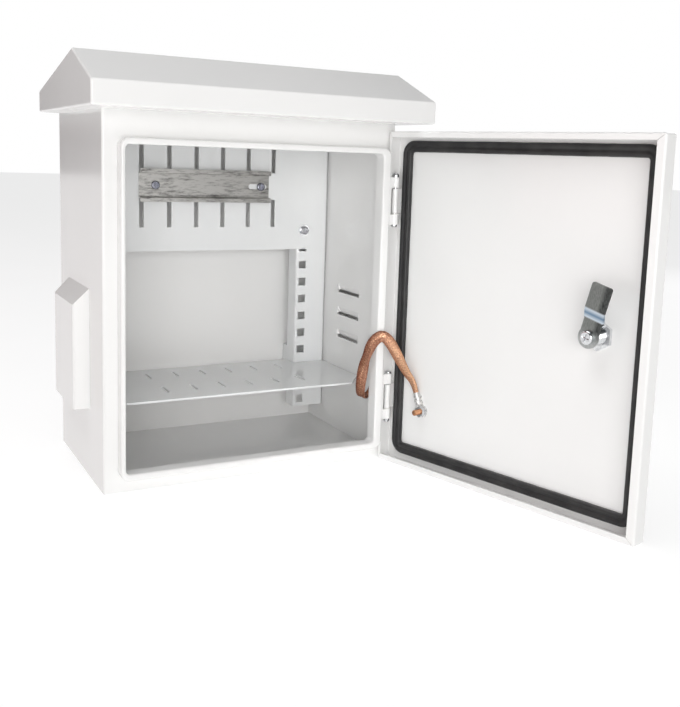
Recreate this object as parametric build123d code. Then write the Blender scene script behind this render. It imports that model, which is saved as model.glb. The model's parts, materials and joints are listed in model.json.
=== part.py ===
"""Small sheet-steel utility cabinet for a pole or a wall, modelled with its door open.

Millimetres. The origin is the centre of the body's bottom face, the front looks
towards -Y, +X is to the right and +Z is up. The door and everything on it is laid
out closed and then turned about the hinge pins to the open position.
"""

import os
from math import cos, radians, sin, sqrt

from build123d import *

# Sheet metal of the body, the door and the hood
sheet = 1.2
fold_radius = 2.0
touch = 0.3
bore_clearance = 0.05
cut_margin = 5.0

# Body
body_width = 300.0
body_depth = 186.0
body_height = 354.0
body_left = -body_width / 2
body_right = body_width / 2
body_front = -body_depth / 2
body_rear = body_depth / 2

# Raised lip round the front opening
lip_left_inset = 13.4
lip_right_inset = 10.7
lip_bottom_inset = 14.0
lip_top_inset = 25.0
lip_left_width = 4.5
lip_right_width = 9.2
lip_bottom_width = 6.5
lip_top_width = 5.7
lip_depth = 13.3
lip_corner_radius = 8.0
mouth_corner_radius = 4.0
lip_left = body_left + lip_left_inset
lip_right = body_right - lip_right_inset
lip_bottom = lip_bottom_inset
lip_top = body_height - lip_top_inset
lip_rim = body_front - lip_depth

# Louvred slits in the side walls
louvre_count = 3
louvre_pitch = 26.3
louvre_rise_above_vent = 43.7
louvre_behind_vent = 10.5
louvre_length = 50.5
louvre_slit = 2.6
louvre_rise = 6.5
louvre_reach = 2.5

# Cable entries in the floor and mounting holes in the back
entry_diameter = 22.0
entry_pitch = 60.0
entry_setback = 22.0
back_hole_diameter = 9.0
back_hole_side = 20.0
back_hole_low = 40.0
back_hole_top = 44.0

# Rain hood
hood_side_reach = 19.2
hood_front_reach = 45.2
hood_rear_reach = 2.5
hood_fascia = 21.5
hood_rise = 30.5
hood_ridge_setback = 29.0
hood_corner_radius = 2.0
soffit_side = 15.0
hood_screw_side = 40.0
hood_screw_inset = 8.0

# Side vent hoods
vent_sheet = 1.0
vent_reach = 15.2
vent_rear_inset = 41.8
vent_width = 90.7
vent_taper = 2.0
vent_bottom = 69.0
vent_height = 117.3
vent_fold = 2.5

# Uprights, channels with square holes
upright_sheet = 1.5
upright_gap = 1.1
upright_width = 38.7
upright_depth = 20.0
upright_standoff = 39.0
upright_bottom = 22.4
upright_top_gap = 12.4
upright_front = body_rear - upright_standoff
upright_height = body_height - sheet - upright_top_gap - upright_bottom
upright_fold = 2.0
square_hole = 9.0
square_hole_inset = 30.3
square_hole_end = 9.05
square_hole_pitch = 20.15
square_hole_count = int((upright_height - 1.5 * square_hole_end) / square_hole_pitch) + 1
shelf_hole_index = 1
panel_hole_steps = 5

# Stand-off brackets between the uprights and the back wall
bracket_sheet = 2.0
bracket_height = 30.0
bracket_overlap = 12.0
bracket_end = 39.6

# Mounting panel and its slots
panel_sheet = 1.5
panel_side_margin = 16.6
panel_low_margin = 21.55
panel_high_margin = 7.3
panel_corner_radius = 2.0
slot_width = 4.9
slot_length = 30.8
slot_pitch = 30.3
slot_offset = 1.75
slot_count = 6
slot_row_low = 41.1
slot_row_high = 102.1

# Top-hat rail
rail_width = 35.0
rail_depth = 7.5
rail_sheet = 1.0
rail_hat = 27.0
rail_offset = -2.75
rail_length = 148.5
rail_rise = 71.1
rail_fold = 0.8
rail_screw_left_inset = 17.6
rail_screw_right_inset = 10.0
rail_slot_length = 22.0
rail_slot_width = 5.8
rail_slot_inset = 13.5

# Shelf
shelf_sheet = 2.0
shelf_rise = 24.8
shelf_setback = 32.7
shelf_corner_x = 20.7
shelf_corner_y = 27.5
shelf_tail = 18.0
shelf_tail_gap = 0.6
shelf_flange_height = 32.0
shelf_flange_width = 34.0
shelf_fold = 2.0
shelf_slot_width = 3.5
shelf_slot_length = 24.0
shelf_slot_pitch = 30.5
shelf_slot_offset = 6.75
shelf_slot_count = 6
shelf_slot_rows = (-12.0, -74.0)

# Fasteners: thread, head diameter, head height
panel_screw = (6.0, 9.5, 3.6)
rail_screw = (5.0, 9.2, 3.0)
hood_screw = (5.0, 9.5, 3.0)
panel_screw_length = 16.0
rail_screw_length = 12.0
hood_screw_length = 12.0
washer_thickness = 1.2
washer_diameter = 13.0
cage_nut_width = 11.0
cage_nut_thickness = 5.0
small_nut_width = 8.0
nut_thickness = 4.0
recess_width = 1.2
recess_depth = 1.4

# Door tray, given closed
door_gap = 2.5
door_depth = 17.0
door_overhang = 3.0
door_bottom = 0.5
door_top_gap = 7.5
door_flange_top = 6.0
door_flange_bottom = 6.3
door_flange_free = 8.0
door_flange_hinge = 4.5
mitre_width = 0.4
door_left = body_left - door_overhang
door_right = body_right + door_overhang
door_back = body_front - door_gap
door_front = door_back - door_depth
door_inner = door_front + sheet
door_top = body_height - door_top_gap

# Hinges
hinge_inset = 5.7
hinge_setback = 6.3
hinge_low = 69.4
hinge_top = 78.2
hinge_heights = (hinge_low, body_height - hinge_top)
hinge_centre_x = door_right - hinge_inset
hinge_centre_y = door_back - hinge_setback
pin_diameter = 3.5
pin_head_diameter = 6.6
pin_head_height = 4.6
pin_tail_height = 2.8
knuckle_radius = 4.1
knuckle_upper = 10.6
knuckle_lower = 10.4
barrel_radius = 3.3
barrel_length = 25.1
barrel_gap = 1.2
leaf_sheet = 1.6
leaf_setback = 1.0
leaf_strip = 1.5
door_leaf_sheet = 1.5
door_leaf_gap = 0.5
door_leaf_inset = 1.0
door_arm_sheet = 2.0
door_open = 105.5

# Door seal
gasket_height = lip_rim - door_inner - touch
gasket_width = 11.3
gasket_radius = 14.0
gasket_hinge_reach = 4.6
gasket_free_reach = 8.0
gasket_bottom_reach = 4.9
gasket_top_reach = 8.7
gasket_groove_width = 2.5
gasket_groove_depth = 1.2

# Quarter-turn lock
lock_inset = 56.5
lock_below_middle = 0.8
lock_height = (door_bottom + door_top) / 2 - lock_below_middle
lock_thread = 18.0
lock_flat = 16.4
lock_face_diameter = 26.0
lock_face_thickness = 2.5
lock_core_diameter = 12.0
lock_core_clearance = 0.08
lock_core_proud = 0.6
lock_nut_flat = 24.0
lock_nut_thickness = 3.8
core_square = 8.0
key_slot_width = 6.5
key_slot_height = 1.6
key_slot_depth = 6.0
cam_sheet = 2.5
cam_step = 3.0
cam_wall_gap = 3.8
cam_width = 19.4
cam_neck_width = 17.6
cam_step_start = 17.0
cam_step_end = 24.6
cam_corner_radius = 2.0
cam_rest_turn = 75.0
cam_screw = (5.0, 12.6, 3.6)
cam_screw_length = 9.0

# Earth studs and lugs
stud_diameter = 6.0
stud_length = 13.5
stud_inset = 48.3
stud_height = 60.3
lug_sheet = 1.2
lug_ring = 13.0
lug_reach = 20.0
lug_crimp_length = 13.0
lug_crimp_radius = 3.4
lug_tilt = 21.0
earth_nut_flat = 10.0
earth_nut_thickness = 5.0
wall_stud_setback = 20.0
wall_stud_height = 112.0
wall_stud_length = 8.0

# Braided earth strap, whose route is chosen by hand from the door's lug to the wall's
strap_radius = 2.5
strap_door_lead = 11.0
strap_wall_lead = 8.5
strap_route = (
    (155.5, -124.5, 99.0),
    (148.0, -118.5, 116.0),
    (140.5, -113.6, 131.5),
    (132.0, -111.0, 138.0),
    (124.2, -104.5, 128.5),
    (121.0, -97.0, 108.0),
    (120.6, -92.0, 89.0),
    (121.6, -87.8, 75.0),
    (126.5, -81.0, 65.5),
    (135.0, -75.5, 66.0),
    (142.5, -73.2, 76.0),
)


def slab(x_span, y_span, z_span):
    """A box between the given pairs of coordinates."""
    (x0, x1), (y0, y1), (z0, z1) = x_span, y_span, z_span
    centre = ((x0 + x1) / 2, (y0 + y1) / 2, (z0 + z1) / 2)
    return Pos(*centre) * Box(abs(x1 - x0), abs(y1 - y0), abs(z1 - z0))


def rod(start, direction, radius, length):
    """A cylinder from a start point along a direction."""
    return extrude(Plane(origin=start, z_dir=direction) * Circle(radius), amount=length)


def front_block(x_span, z_span, y_span, radius):
    """A block along Y whose outline has rounded corners, seen from the front."""
    (x0, x1), (z0, z1), (y0, y1) = x_span, z_span, y_span
    plane = Plane(origin=((x0 + x1) / 2, y0, (z0 + z1) / 2), x_dir=(1, 0, 0), z_dir=(0, 1, 0))
    return extrude(plane * RectangleRounded(x1 - x0, z1 - z0, radius), amount=y1 - y0)


def front_slot(centre_x, centre_z, length, width, y_span):
    """A level cutter with round ends through a plate that faces the front."""
    plane = Plane(origin=(centre_x, y_span[0], centre_z), x_dir=(1, 0, 0), z_dir=(0, 1, 0))
    return extrude(plane * SlotOverall(length, width), amount=y_span[1] - y_span[0])


def hexagon(start, direction, flat_width, length, vertex_down=True):
    """A hexagonal prism along a horizontal direction, by its width across flats."""
    plane = Plane(origin=start, x_dir=(0, 0, 1), z_dir=direction)
    turn = 0 if vertex_down else 30
    outline = RegularPolygon(flat_width / 2, 6, major_radius=False, rotation=turn)
    return extrude(plane * outline, amount=length)


def folded_strip(points, thickness, radius, origin, x_dir, z_dir, length):
    """A folded sheet section along its middle line, drawn out to a length."""
    line = FilletPolyline(*points, radius=radius)
    plane = Plane(origin=origin, x_dir=x_dir, z_dir=z_dir)
    return extrude(plane * trace(line, line_width=thickness), amount=length)


def opened(part):
    """A piece of the closed door, turned about the hinge pins to where it stands."""
    to_axis = Pos(-hinge_centre_x, -hinge_centre_y, 0)
    back = Pos(hinge_centre_x, hinge_centre_y, 0)
    return back * Rot(Z=door_open) * to_axis * part


def at_door(point):
    """A point of the closed door in the open position."""
    turn = radians(door_open)
    dx = point[0] - hinge_centre_x
    dy = point[1] - hinge_centre_y
    x = hinge_centre_x + dx * cos(turn) - dy * sin(turn)
    y = hinge_centre_y + dx * sin(turn) + dy * cos(turn)
    return (x, y, point[2])


def pan_screw(seat, direction, screw, length):
    """A domed screw: its head stands off the seat, its shank runs the other way."""
    thread, head_diameter, head_height = screw
    inward = tuple(-d for d in direction)
    head = rod(seat, direction, head_diameter / 2, head_height)
    rim = head.edges().filter_by(GeomType.CIRCLE).sort_by(lambda e: Vector(*direction).dot(e.center()))[-1]
    head = fillet(rim, head_height * 0.45)
    plane = Plane(origin=seat, z_dir=direction).offset(head_height - recess_depth)
    cross = Rectangle(head_diameter * 0.55, recess_width) + Rectangle(recess_width, head_diameter * 0.55)
    head -= extrude(plane * cross, amount=recess_depth + 1)
    return head + rod(seat, inward, thread / 2, length)


def washer(seat, direction, outer, inner, thickness):
    """A flat washer lying on its seat."""
    ring = rod(seat, direction, outer / 2, thickness)
    return ring - rod(seat, direction, inner / 2, thickness)


def mirrored(part):
    """The same piece on the other side of the cabinet."""
    return mirror(part, about=Plane.YZ)


def sorted_along(edges, axis):
    """The edges that lie lowest along an axis."""
    return edges.group_by(axis)[0]


# Body

def body_box():
    """Closed sheet box with rounded upright folds."""
    outer = slab((body_left, body_right), (body_front, body_rear), (0, body_height))
    outer = fillet(outer.edges().filter_by(Axis.Z), fold_radius)
    inner = slab(
        (body_left + sheet, body_right - sheet),
        (body_front + sheet, body_rear - sheet),
        (sheet, body_height - sheet),
    )
    inner = fillet(inner.edges().filter_by(Axis.Z), fold_radius - sheet)
    return outer - inner


def lip_outline(inset, y_span, radius):
    """A block that fills the lip's outline, drawn in by an inset."""
    x_span = (lip_left + inset, lip_right - inset)
    z_span = (lip_bottom + inset, lip_top - inset)
    return front_block(x_span, z_span, y_span, radius)


def mouth_outline(grow, y_span, radius):
    """A block that fills the opening inside the lip, grown all round."""
    x_span = (lip_left + lip_left_width - grow, lip_right - lip_right_width + grow)
    z_span = (lip_bottom + lip_bottom_width - grow, lip_top - lip_top_width + grow)
    return front_block(x_span, z_span, y_span, radius)


def front_lip():
    """Sheet folded forward and back again, which leaves a channel open to the inside."""
    inside = body_front + sheet
    ring = lip_outline(0, (lip_rim, inside), lip_corner_radius)
    ring -= mouth_outline(0, (lip_rim - 1, inside + 1), mouth_corner_radius)
    ring = fillet(sorted_along(ring.edges(), Axis.Y), fold_radius)
    channel = lip_outline(sheet, (lip_rim + sheet, inside + 1), lip_corner_radius - sheet)
    channel -= mouth_outline(sheet, (lip_rim, inside + 2), mouth_corner_radius + sheet)
    return ring - channel


def louvre_heights():
    """Middles of the slits."""
    first = vent_bottom + louvre_rise_above_vent
    return [first + index * louvre_pitch for index in range(louvre_count)]


def louvre_shape(height, grow):
    """Wedge of one louvre on the right wall: its outer skin, grown by a sheet, or its hollow and slit."""
    inside = body_right - sheet - (0 if grow else cut_margin / 2)
    edge = height + louvre_slit / 2
    low = edge if grow else height - louvre_slit / 2
    points = [
        (inside, low),
        (body_right + louvre_reach + grow * sheet, low),
        (body_right + louvre_reach + grow * sheet, edge),
        (body_right, edge + louvre_rise + grow * sheet),
        (inside, edge + louvre_rise + grow * sheet),
    ]
    points = list(dict.fromkeys(points))
    y_start = vent_front() + louvre_behind_vent - grow * sheet
    plane = Plane(origin=(0, y_start, 0), x_dir=(1, 0, 0), z_dir=(0, -1, 0))
    outline = plane * make_face(Polyline(*points, close=True))
    return extrude(outline, amount=-(louvre_length + 2 * grow * sheet))


def cabinet_shell():
    """The body: box, raised lip, louvres, cable entries and mounting holes."""
    shell = body_box()
    shell -= lip_outline(0, (body_front - 1, body_front + sheet), lip_corner_radius)
    shell += front_lip()
    for height in louvre_heights():
        skin = louvre_shape(height, 1)
        hollow = louvre_shape(height, 0)
        shell = shell + skin + mirrored(skin)
        shell = shell - hollow - mirrored(hollow)
    for step in (-1, 0, 1):
        place = (step * entry_pitch, body_front + entry_setback, -1)
        shell -= rod(place, (0, 0, 1), entry_diameter / 2, sheet + 2)
    for x in (body_left + back_hole_side, body_right - back_hole_side):
        for z in (back_hole_low, body_height - back_hole_top):
            place = (x, body_rear - sheet - 1, z)
            shell -= rod(place, (0, 1, 0), back_hole_diameter / 2, sheet + 2)
    for point in hood_screw_points():
        shell -= rod((*point, body_height - sheet - 1), (0, 0, 1), hood_screw[0] / 2 + 0.25, sheet + 2)
    return shell


# Rain hood

def hood_screw_points():
    """Where the four screws rise through the top plate."""
    half = body_width / 2 - hood_screw_side
    return [
        (x, y)
        for x in (-half, half)
        for y in (body_front + hood_screw_inset, body_rear - hood_screw_inset)
    ]


def hood_profile(inset):
    """Gable outline seen from the side, drawn in by an inset."""
    front = body_front - hood_front_reach
    rear = body_rear + hood_rear_reach
    eaves = body_height + hood_fascia
    ridge = eaves + hood_rise
    top = (body_front + hood_ridge_setback, ridge)
    corners = [(front, body_height), (rear, body_height), (rear, eaves), top, (front, eaves)]
    outline = make_face(Polyline(*corners, close=True))
    if inset:
        outline = offset(outline, amount=-inset, kind=Kind.INTERSECTION)
    radius = fold_radius - inset
    return fillet(outline.vertices(), radius)


def hood_prism(inset):
    """The gable outline drawn out over the hood's width."""
    half = body_width / 2 + hood_side_reach - inset
    plane = Plane(origin=(-half, 0, 0), x_dir=(0, 1, 0), z_dir=(1, 0, 0))
    return extrude(plane * hood_profile(inset), amount=2 * half)


def rain_hood():
    """Hollow gabled hood, open over the top plate and closed round its edge."""
    outer = hood_prism(0)
    corners = outer.edges().filter_by(Axis.Z)
    outer = fillet(corners, hood_corner_radius)
    hood = outer - hood_prism(sheet)
    hood -= slab(
        (body_left + soffit_side, body_right - soffit_side),
        (body_front + soffit_side, body_rear - soffit_side),
        (body_height - 1, body_height + sheet + 1),
    )
    for point in hood_screw_points():
        hood -= rod((*point, body_height - 1), (0, 0, 1), hood_screw[0] / 2 + 0.25, sheet + 2)
    return hood


def hood_screws():
    """Screws whose heads lie under the top plate."""
    seat = body_height - sheet
    return [pan_screw((*p, seat), (0, 0, -1), hood_screw, hood_screw_length) for p in hood_screw_points()]


def hood_nuts():
    """Weld nuts on the hood's inner rim."""
    seat = body_height + sheet
    nuts = []
    for x, y in hood_screw_points():
        outline = Plane(origin=(x, y, seat)) * RegularPolygon(small_nut_width / 2, 6, major_radius=False)
        bore = rod((x, y, seat), (0, 0, 1), hood_screw[0] / 2 + bore_clearance, nut_thickness)
        nuts.append(extrude(outline, amount=nut_thickness) - bore)
    return nuts


# Vent hoods

def vent_rear():
    """Y of the vent hoods' rear end."""
    return body_rear - vent_rear_inset


def vent_front():
    """Y of the vent hoods' front end."""
    return vent_rear() - vent_width


def vent_form(inset):
    """Block with a sloped top and slightly tapered ends, on the right wall."""
    wall = body_right - (cut_margin if inset else 0)
    face = body_right + vent_reach - inset
    top = vent_bottom + vent_height
    low = vent_bottom - (cut_margin if inset else 0)
    drop = inset * (sqrt(2) - 1)
    side = [
        (wall, low),
        (face, low),
        (face, top - vent_reach - drop),
        (body_right, top - inset * sqrt(2)),
        (wall, top - inset * sqrt(2)),
    ]
    rear = vent_rear() - inset
    front = vent_front() + inset
    plan = [
        (wall, front),
        (body_right, front),
        (face, front + vent_taper),
        (face, rear - vent_taper),
        (body_right, rear),
        (wall, rear),
    ]
    side = list(dict.fromkeys(side))
    plan = list(dict.fromkeys(plan))
    side_plane = Plane(origin=(0, front - 1, 0), x_dir=(1, 0, 0), z_dir=(0, -1, 0))
    side_block = extrude(side_plane * make_face(Polyline(*side, close=True)), amount=-(rear - front + 2))
    plan_block = extrude(Pos(0, 0, low) * make_face(Polyline(*plan, close=True)), amount=top - low + 1)
    block = side_block & plan_block
    outer_edges = block.edges().filter_by(lambda e: min(v.X for v in e.vertices()) > face - 0.01)
    uprights = outer_edges.filter_by(Axis.Z)
    return fillet(uprights, vent_fold - inset)


def right_vent_hood():
    """Open-bottomed sheet hood over the louvres."""
    return vent_form(0) - vent_form(vent_sheet)


# Uprights and brackets

def upright_inner():
    """The edge of the right upright that faces the middle of the cabinet."""
    return body_right - sheet - upright_gap - upright_width


def square_hole_x():
    """Middle of the right upright's holes."""
    return body_right - sheet - upright_gap - square_hole_inset


def square_hole_z(index):
    """Height of one of the upright's holes."""
    return upright_bottom + square_hole_end + square_hole_pitch * index


def right_upright():
    """Channel open to the rear, with a row of square holes in its face."""
    half = upright_sheet / 2
    inner = upright_inner() + half
    outer = upright_inner() + upright_width - half
    face = upright_front + half
    back = upright_front + upright_depth
    points = [(inner, back), (inner, face), (outer, face), (outer, back)]
    channel = folded_strip(
        points, upright_sheet, upright_fold, (0, 0, upright_bottom), (1, 0, 0), (0, 0, 1), upright_height
    )
    for index in range(square_hole_count):
        z = square_hole_z(index)
        half_hole = square_hole / 2
        channel -= slab(
            (square_hole_x() - half_hole, square_hole_x() + half_hole),
            (upright_front - 1, upright_front + upright_sheet + 1),
            (z - half_hole, z + half_hole),
        )
    return channel


def right_brackets():
    """U-shaped stand-offs that nest in the channel and stand on the back wall."""
    half = bracket_sheet / 2
    left = upright_inner() + upright_sheet + half
    right = upright_inner() + upright_width - upright_sheet - half
    wall = body_rear - sheet - half
    front = upright_front + upright_depth - bracket_overlap
    points = [(left, front), (left, wall), (right, wall), (right, front)]
    brackets = []
    top = upright_bottom + upright_height - bracket_end - bracket_height
    for height in (upright_bottom + bracket_end, top):
        brackets.append(
            folded_strip(
                points, bracket_sheet, upright_fold, (0, 0, height), (1, 0, 0), (0, 0, 1), bracket_height
            )
        )
    return brackets


# Mounting panel, rail and shelf

def panel_front():
    """Y of the mounting panel's front face."""
    return upright_front - panel_sheet


def panel_screw_heights():
    """Heights of the panel's two pairs of screws."""
    last = square_hole_count - 1
    return [square_hole_z(last - panel_hole_steps), square_hole_z(last)]


def panel_span():
    """Bottom and top of the panel."""
    low, high = panel_screw_heights()
    return (low - panel_low_margin, high + panel_high_margin)


def spread(count, pitch, offset):
    """Evenly pitched places about an offset from the middle."""
    first = offset - (count - 1) * pitch / 2
    return [first + index * pitch for index in range(count)]


def mounting_panel():
    """Flat plate with two rows of upright slots."""
    half = square_hole_x() + panel_side_margin
    y_span = (panel_front(), upright_front)
    through = (y_span[0] - 1, y_span[1] + 1)
    bottom = panel_span()[0]
    panel = front_block((-half, half), panel_span(), y_span, panel_corner_radius)
    half_width = slot_width / 2
    half_length = slot_length / 2
    for x in spread(slot_count, slot_pitch, slot_offset):
        for rise in (slot_row_low, slot_row_high):
            z_span = (bottom + rise - half_length, bottom + rise + half_length)
            panel -= slab((x - half_width, x + half_width), through, z_span)
    for side in (-1, 1):
        for z in panel_screw_heights():
            place = (side * square_hole_x(), through[0], z)
            panel -= rod(place, (0, 1, 0), panel_screw[0] / 2 + 0.3, panel_sheet + 2)
    for x in rail_screw_places():
        panel -= rod((x, through[0], rail_middle()), (0, 1, 0), rail_screw[0] / 2 + 0.25, panel_sheet + 2)
    return panel


def rail_middle():
    """Height of the rail's middle."""
    return panel_span()[0] + rail_rise


def rail_left():
    """X of the rail's left end."""
    return rail_offset - rail_length / 2


def rail_screw_places():
    """X of the rail's two screws."""
    return [rail_left() + rail_screw_left_inset, rail_left() + rail_length - rail_screw_right_inset]


def din_rail():
    """Top-hat rail with a round hole at the left and a slot at the right."""
    half = rail_sheet / 2
    base = panel_front() - half
    lip = panel_front() - rail_depth + half
    edge = rail_width / 2
    hat = rail_hat / 2 - half
    points = [(lip, -edge), (lip, -hat), (base, -hat), (base, hat), (lip, hat), (lip, edge)]
    rail = folded_strip(
        points, rail_sheet, rail_fold, (rail_left(), 0, rail_middle()), (0, 1, 0), (1, 0, 0), rail_length
    )
    through = (panel_front() - rail_sheet - 1, panel_front() + 1)
    left_hole = (rail_screw_places()[0], through[0], rail_middle())
    rail -= rod(left_hole, (0, 1, 0), rail_screw[0] / 2 + 0.25, rail_sheet + 2)
    slot_x = rail_left() + rail_length - rail_slot_inset
    return rail - front_slot(slot_x, rail_middle(), rail_slot_length, rail_slot_width, through)


def shelf_top():
    """Height of the shelf's upper face."""
    return square_hole_z(shelf_hole_index) + shelf_rise


def shelf():
    """Slotted sheet shelf with two flanges turned down in front of the uprights."""
    front = body_front + shelf_setback
    inner = upright_inner() - shelf_tail_gap
    edge = body_right - sheet - upright_gap
    step = upright_front - shelf_sheet
    tail = upright_front + shelf_tail
    right = [
        (edge - shelf_corner_x, front),
        (edge, front + shelf_corner_y),
        (edge, step),
        (inner, step),
        (inner, tail),
    ]
    left = [(-x, y) for x, y in reversed(right)]
    outline = make_face(Polyline(*right, *left, close=True))
    base = shelf_top() - shelf_sheet
    plate = extrude(Pos(0, 0, base) * outline, amount=shelf_sheet)
    slot = Rot(Z=90) * SlotOverall(shelf_slot_length, shelf_slot_width)
    for x in spread(shelf_slot_count, shelf_slot_pitch, shelf_slot_offset):
        for row in shelf_slot_rows:
            plate -= extrude(Pos(x, upright_front + row, base - 1) * slot, amount=shelf_sheet + 2)
    flange = shelf_flange(edge)
    return plate + flange + mirrored(flange)


def shelf_flange(edge):
    """Turned-down flange that bears on the right upright, with its screw hole."""
    half = shelf_sheet / 2
    face = upright_front - half
    level = shelf_top() - half
    low = shelf_top() - shelf_flange_height
    points = [(face - 2 * shelf_sheet - shelf_fold, level), (face, level), (face, low)]
    origin = (edge - shelf_flange_width, 0, 0)
    flange = folded_strip(points, shelf_sheet, shelf_fold, origin, (0, 1, 0), (1, 0, 0), shelf_flange_width)
    place = (square_hole_x(), upright_front - shelf_sheet - 1, square_hole_z(shelf_hole_index))
    return flange - rod(place, (0, 1, 0), panel_screw[0] / 2 + 0.3, shelf_sheet + 2)


def rack_screw_seats():
    """Front faces that the six rack screws press on: four of the panel, two of the shelf."""
    seats = []
    for side in (-1, 1):
        for z in panel_screw_heights():
            seats.append((side * square_hole_x(), panel_front(), z))
        seats.append((side * square_hole_x(), upright_front - shelf_sheet, square_hole_z(shelf_hole_index)))
    return seats


def rack_washers():
    """Washers under the rack screws."""
    inner = panel_screw[0] + 2 * bore_clearance
    return [washer(seat, (0, -1, 0), washer_diameter, inner, washer_thickness) for seat in rack_screw_seats()]


def rack_screws():
    """Cross-recess screws through panel or shelf into the cage nuts."""
    screws = []
    for x, y, z in rack_screw_seats():
        screws.append(pan_screw((x, y - washer_thickness, z), (0, -1, 0), panel_screw, panel_screw_length))
    return screws


def cage_nuts():
    """Square nuts behind the uprights' faces."""
    nuts = []
    back = upright_front + upright_sheet
    half = cage_nut_width / 2
    for x, y, z in rack_screw_seats():
        nut = slab((x - half, x + half), (back, back + cage_nut_thickness), (z - half, z + half))
        bore = rod((x, back, z), (0, 1, 0), panel_screw[0] / 2 + bore_clearance, cage_nut_thickness)
        nuts.append(nut - bore)
    return nuts


def rail_seat_points():
    """Where the rail's two screws press on its base."""
    seat = panel_front() - rail_sheet
    return [(x, seat, rail_middle()) for x in rail_screw_places()]


def din_rail_screws():
    """Screws that hold the rail to the panel."""
    return [pan_screw(seat, (0, -1, 0), rail_screw, rail_screw_length) for seat in rail_seat_points()]


def din_rail_nuts():
    """Nuts behind the panel."""
    nuts = []
    for x, y, z in rail_seat_points():
        start = (x, upright_front, z)
        bore = rod(start, (0, 1, 0), rail_screw[0] / 2 + bore_clearance, nut_thickness)
        nuts.append(hexagon(start, (0, 1, 0), small_nut_width, nut_thickness) - bore)
    return nuts


# Hinges

def frame_leaf(height):
    """Fixed half of a hinge: a flat leaf welded by its edge on the lip's side, with two knuckles."""
    low = height - barrel_length / 2 - barrel_gap - knuckle_lower
    high = height + barrel_length / 2 + barrel_gap + knuckle_upper
    front = hinge_centre_y - knuckle_radius + leaf_setback
    thickness = (front, front + leaf_sheet)
    leaf = slab((lip_right, lip_right + leaf_strip), thickness, (low, high))
    for start, length in ((low, knuckle_lower), (high - knuckle_upper, knuckle_upper)):
        arm = slab((lip_right, hinge_centre_x), thickness, (start, start + length))
        knuckle = rod((hinge_centre_x, hinge_centre_y, start), (0, 0, 1), knuckle_radius, length)
        leaf = leaf + arm + knuckle
    bore = pin_diameter / 2 + bore_clearance
    return leaf - rod((hinge_centre_x, hinge_centre_y, low - 1), (0, 0, 1), bore, high - low + 2)


def pin_head(end, upward, height):
    """Domed head on a knuckle's end, pointing up (1) or down (-1)."""
    start = (hinge_centre_x, hinge_centre_y, end)
    head = rod(start, (0, 0, upward), pin_head_diameter / 2, height)
    rim = head.edges().filter_by(GeomType.CIRCLE).sort_by(lambda e: upward * e.center().Z)[-1]
    return fillet(rim, height * 0.6)


def hinge_pin(height):
    """Pin with a domed head at each end, the taller one away from the door's middle."""
    low = height - barrel_length / 2 - barrel_gap - knuckle_lower
    high = height + barrel_length / 2 + barrel_gap + knuckle_upper
    top, bottom = pin_head_height, pin_tail_height
    if height < body_height / 2:
        top, bottom = bottom, top
    shaft = rod((hinge_centre_x, hinge_centre_y, low), (0, 0, 1), pin_diameter / 2, high - low)
    return shaft + pin_head(high, 1, top) + pin_head(low, -1, bottom)


def hinge_washer(height):
    """Thrust washer on the lower knuckle, which carries the door."""
    seat = (hinge_centre_x, hinge_centre_y, height - barrel_length / 2 - barrel_gap)
    inner = pin_diameter + 2 * bore_clearance
    return washer(seat, (0, 0, 1), 2 * knuckle_radius, inner, barrel_gap - touch)


def door_leaf(height):
    """Moving half of a hinge, on the inner face of the closed door."""
    low = height - barrel_length / 2
    span = (low, low + barrel_length)
    x_span = (lip_right + gasket_hinge_reach + door_leaf_gap, door_right - sheet - door_leaf_inset)
    leaf = slab(x_span, (door_inner, door_inner + door_leaf_sheet), span)
    half = door_arm_sheet / 2
    arm = slab((hinge_centre_x - half, hinge_centre_x + half), (door_inner, hinge_centre_y), span)
    barrel = rod((hinge_centre_x, hinge_centre_y, low), (0, 0, 1), barrel_radius, barrel_length)
    bore_start = (hinge_centre_x, hinge_centre_y, low - 1)
    bore = rod(bore_start, (0, 0, 1), pin_diameter / 2 + bore_clearance, barrel_length + 2)
    return leaf + arm + barrel - bore


# Door

def door_panel():
    """Folded tray with return flanges, mitred at the corners."""
    outer = slab((door_left, door_right), (door_front, door_back), (door_bottom, door_top))
    outer = fillet(outer.edges(), fold_radius)
    inner = slab(
        (door_left + sheet, door_right - sheet),
        (door_inner, door_back - sheet),
        (door_bottom + sheet, door_top - sheet),
    )
    inner = fillet(inner.edges(), fold_radius - sheet)
    tray = outer - inner
    open_x = (door_left + door_flange_free, door_right - door_flange_hinge)
    open_z = (door_bottom + door_flange_bottom, door_top - door_flange_top)
    tray -= slab(open_x, (door_back - sheet - 1, door_back + 1), open_z)
    for x, corner_x in zip(open_x, (door_left, door_right)):
        for z, corner_z in zip(open_z, (door_bottom, door_top)):
            tray -= mitre_cut(x, z, corner_x, corner_z)
    place = (lock_x(), door_front - 1, lock_height)
    radius = lock_thread / 2 + bore_clearance
    return tray - lock_section(place, radius, lock_flat + 2 * bore_clearance, sheet + 2)


def mitre_cut(x, z, corner_x, corner_z):
    """Thin slit across a flange corner, from the opening almost to the fold."""
    start = Vector(x, 0, z)
    end = start + (Vector(corner_x, 0, corner_z) - start) * 0.7
    along = end - start
    middle = (start + end) * 0.5
    origin = (middle.X, door_back - sheet - 0.1, middle.Z)
    plane = Plane(origin=origin, x_dir=along.normalized(), z_dir=(0, 1, 0))
    return extrude(plane * Rectangle(along.length + mitre_width, mitre_width), amount=sheet + 1)


def gasket_loop(inset, y_span, radius):
    """Rounded block that fills the seal's outline, drawn in by an inset."""
    x_span = (lip_left - gasket_free_reach + inset, lip_right + gasket_hinge_reach - inset)
    z_span = (lip_bottom - gasket_bottom_reach + inset, lip_top + gasket_top_reach - inset)
    return front_block(x_span, z_span, y_span, radius)


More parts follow.
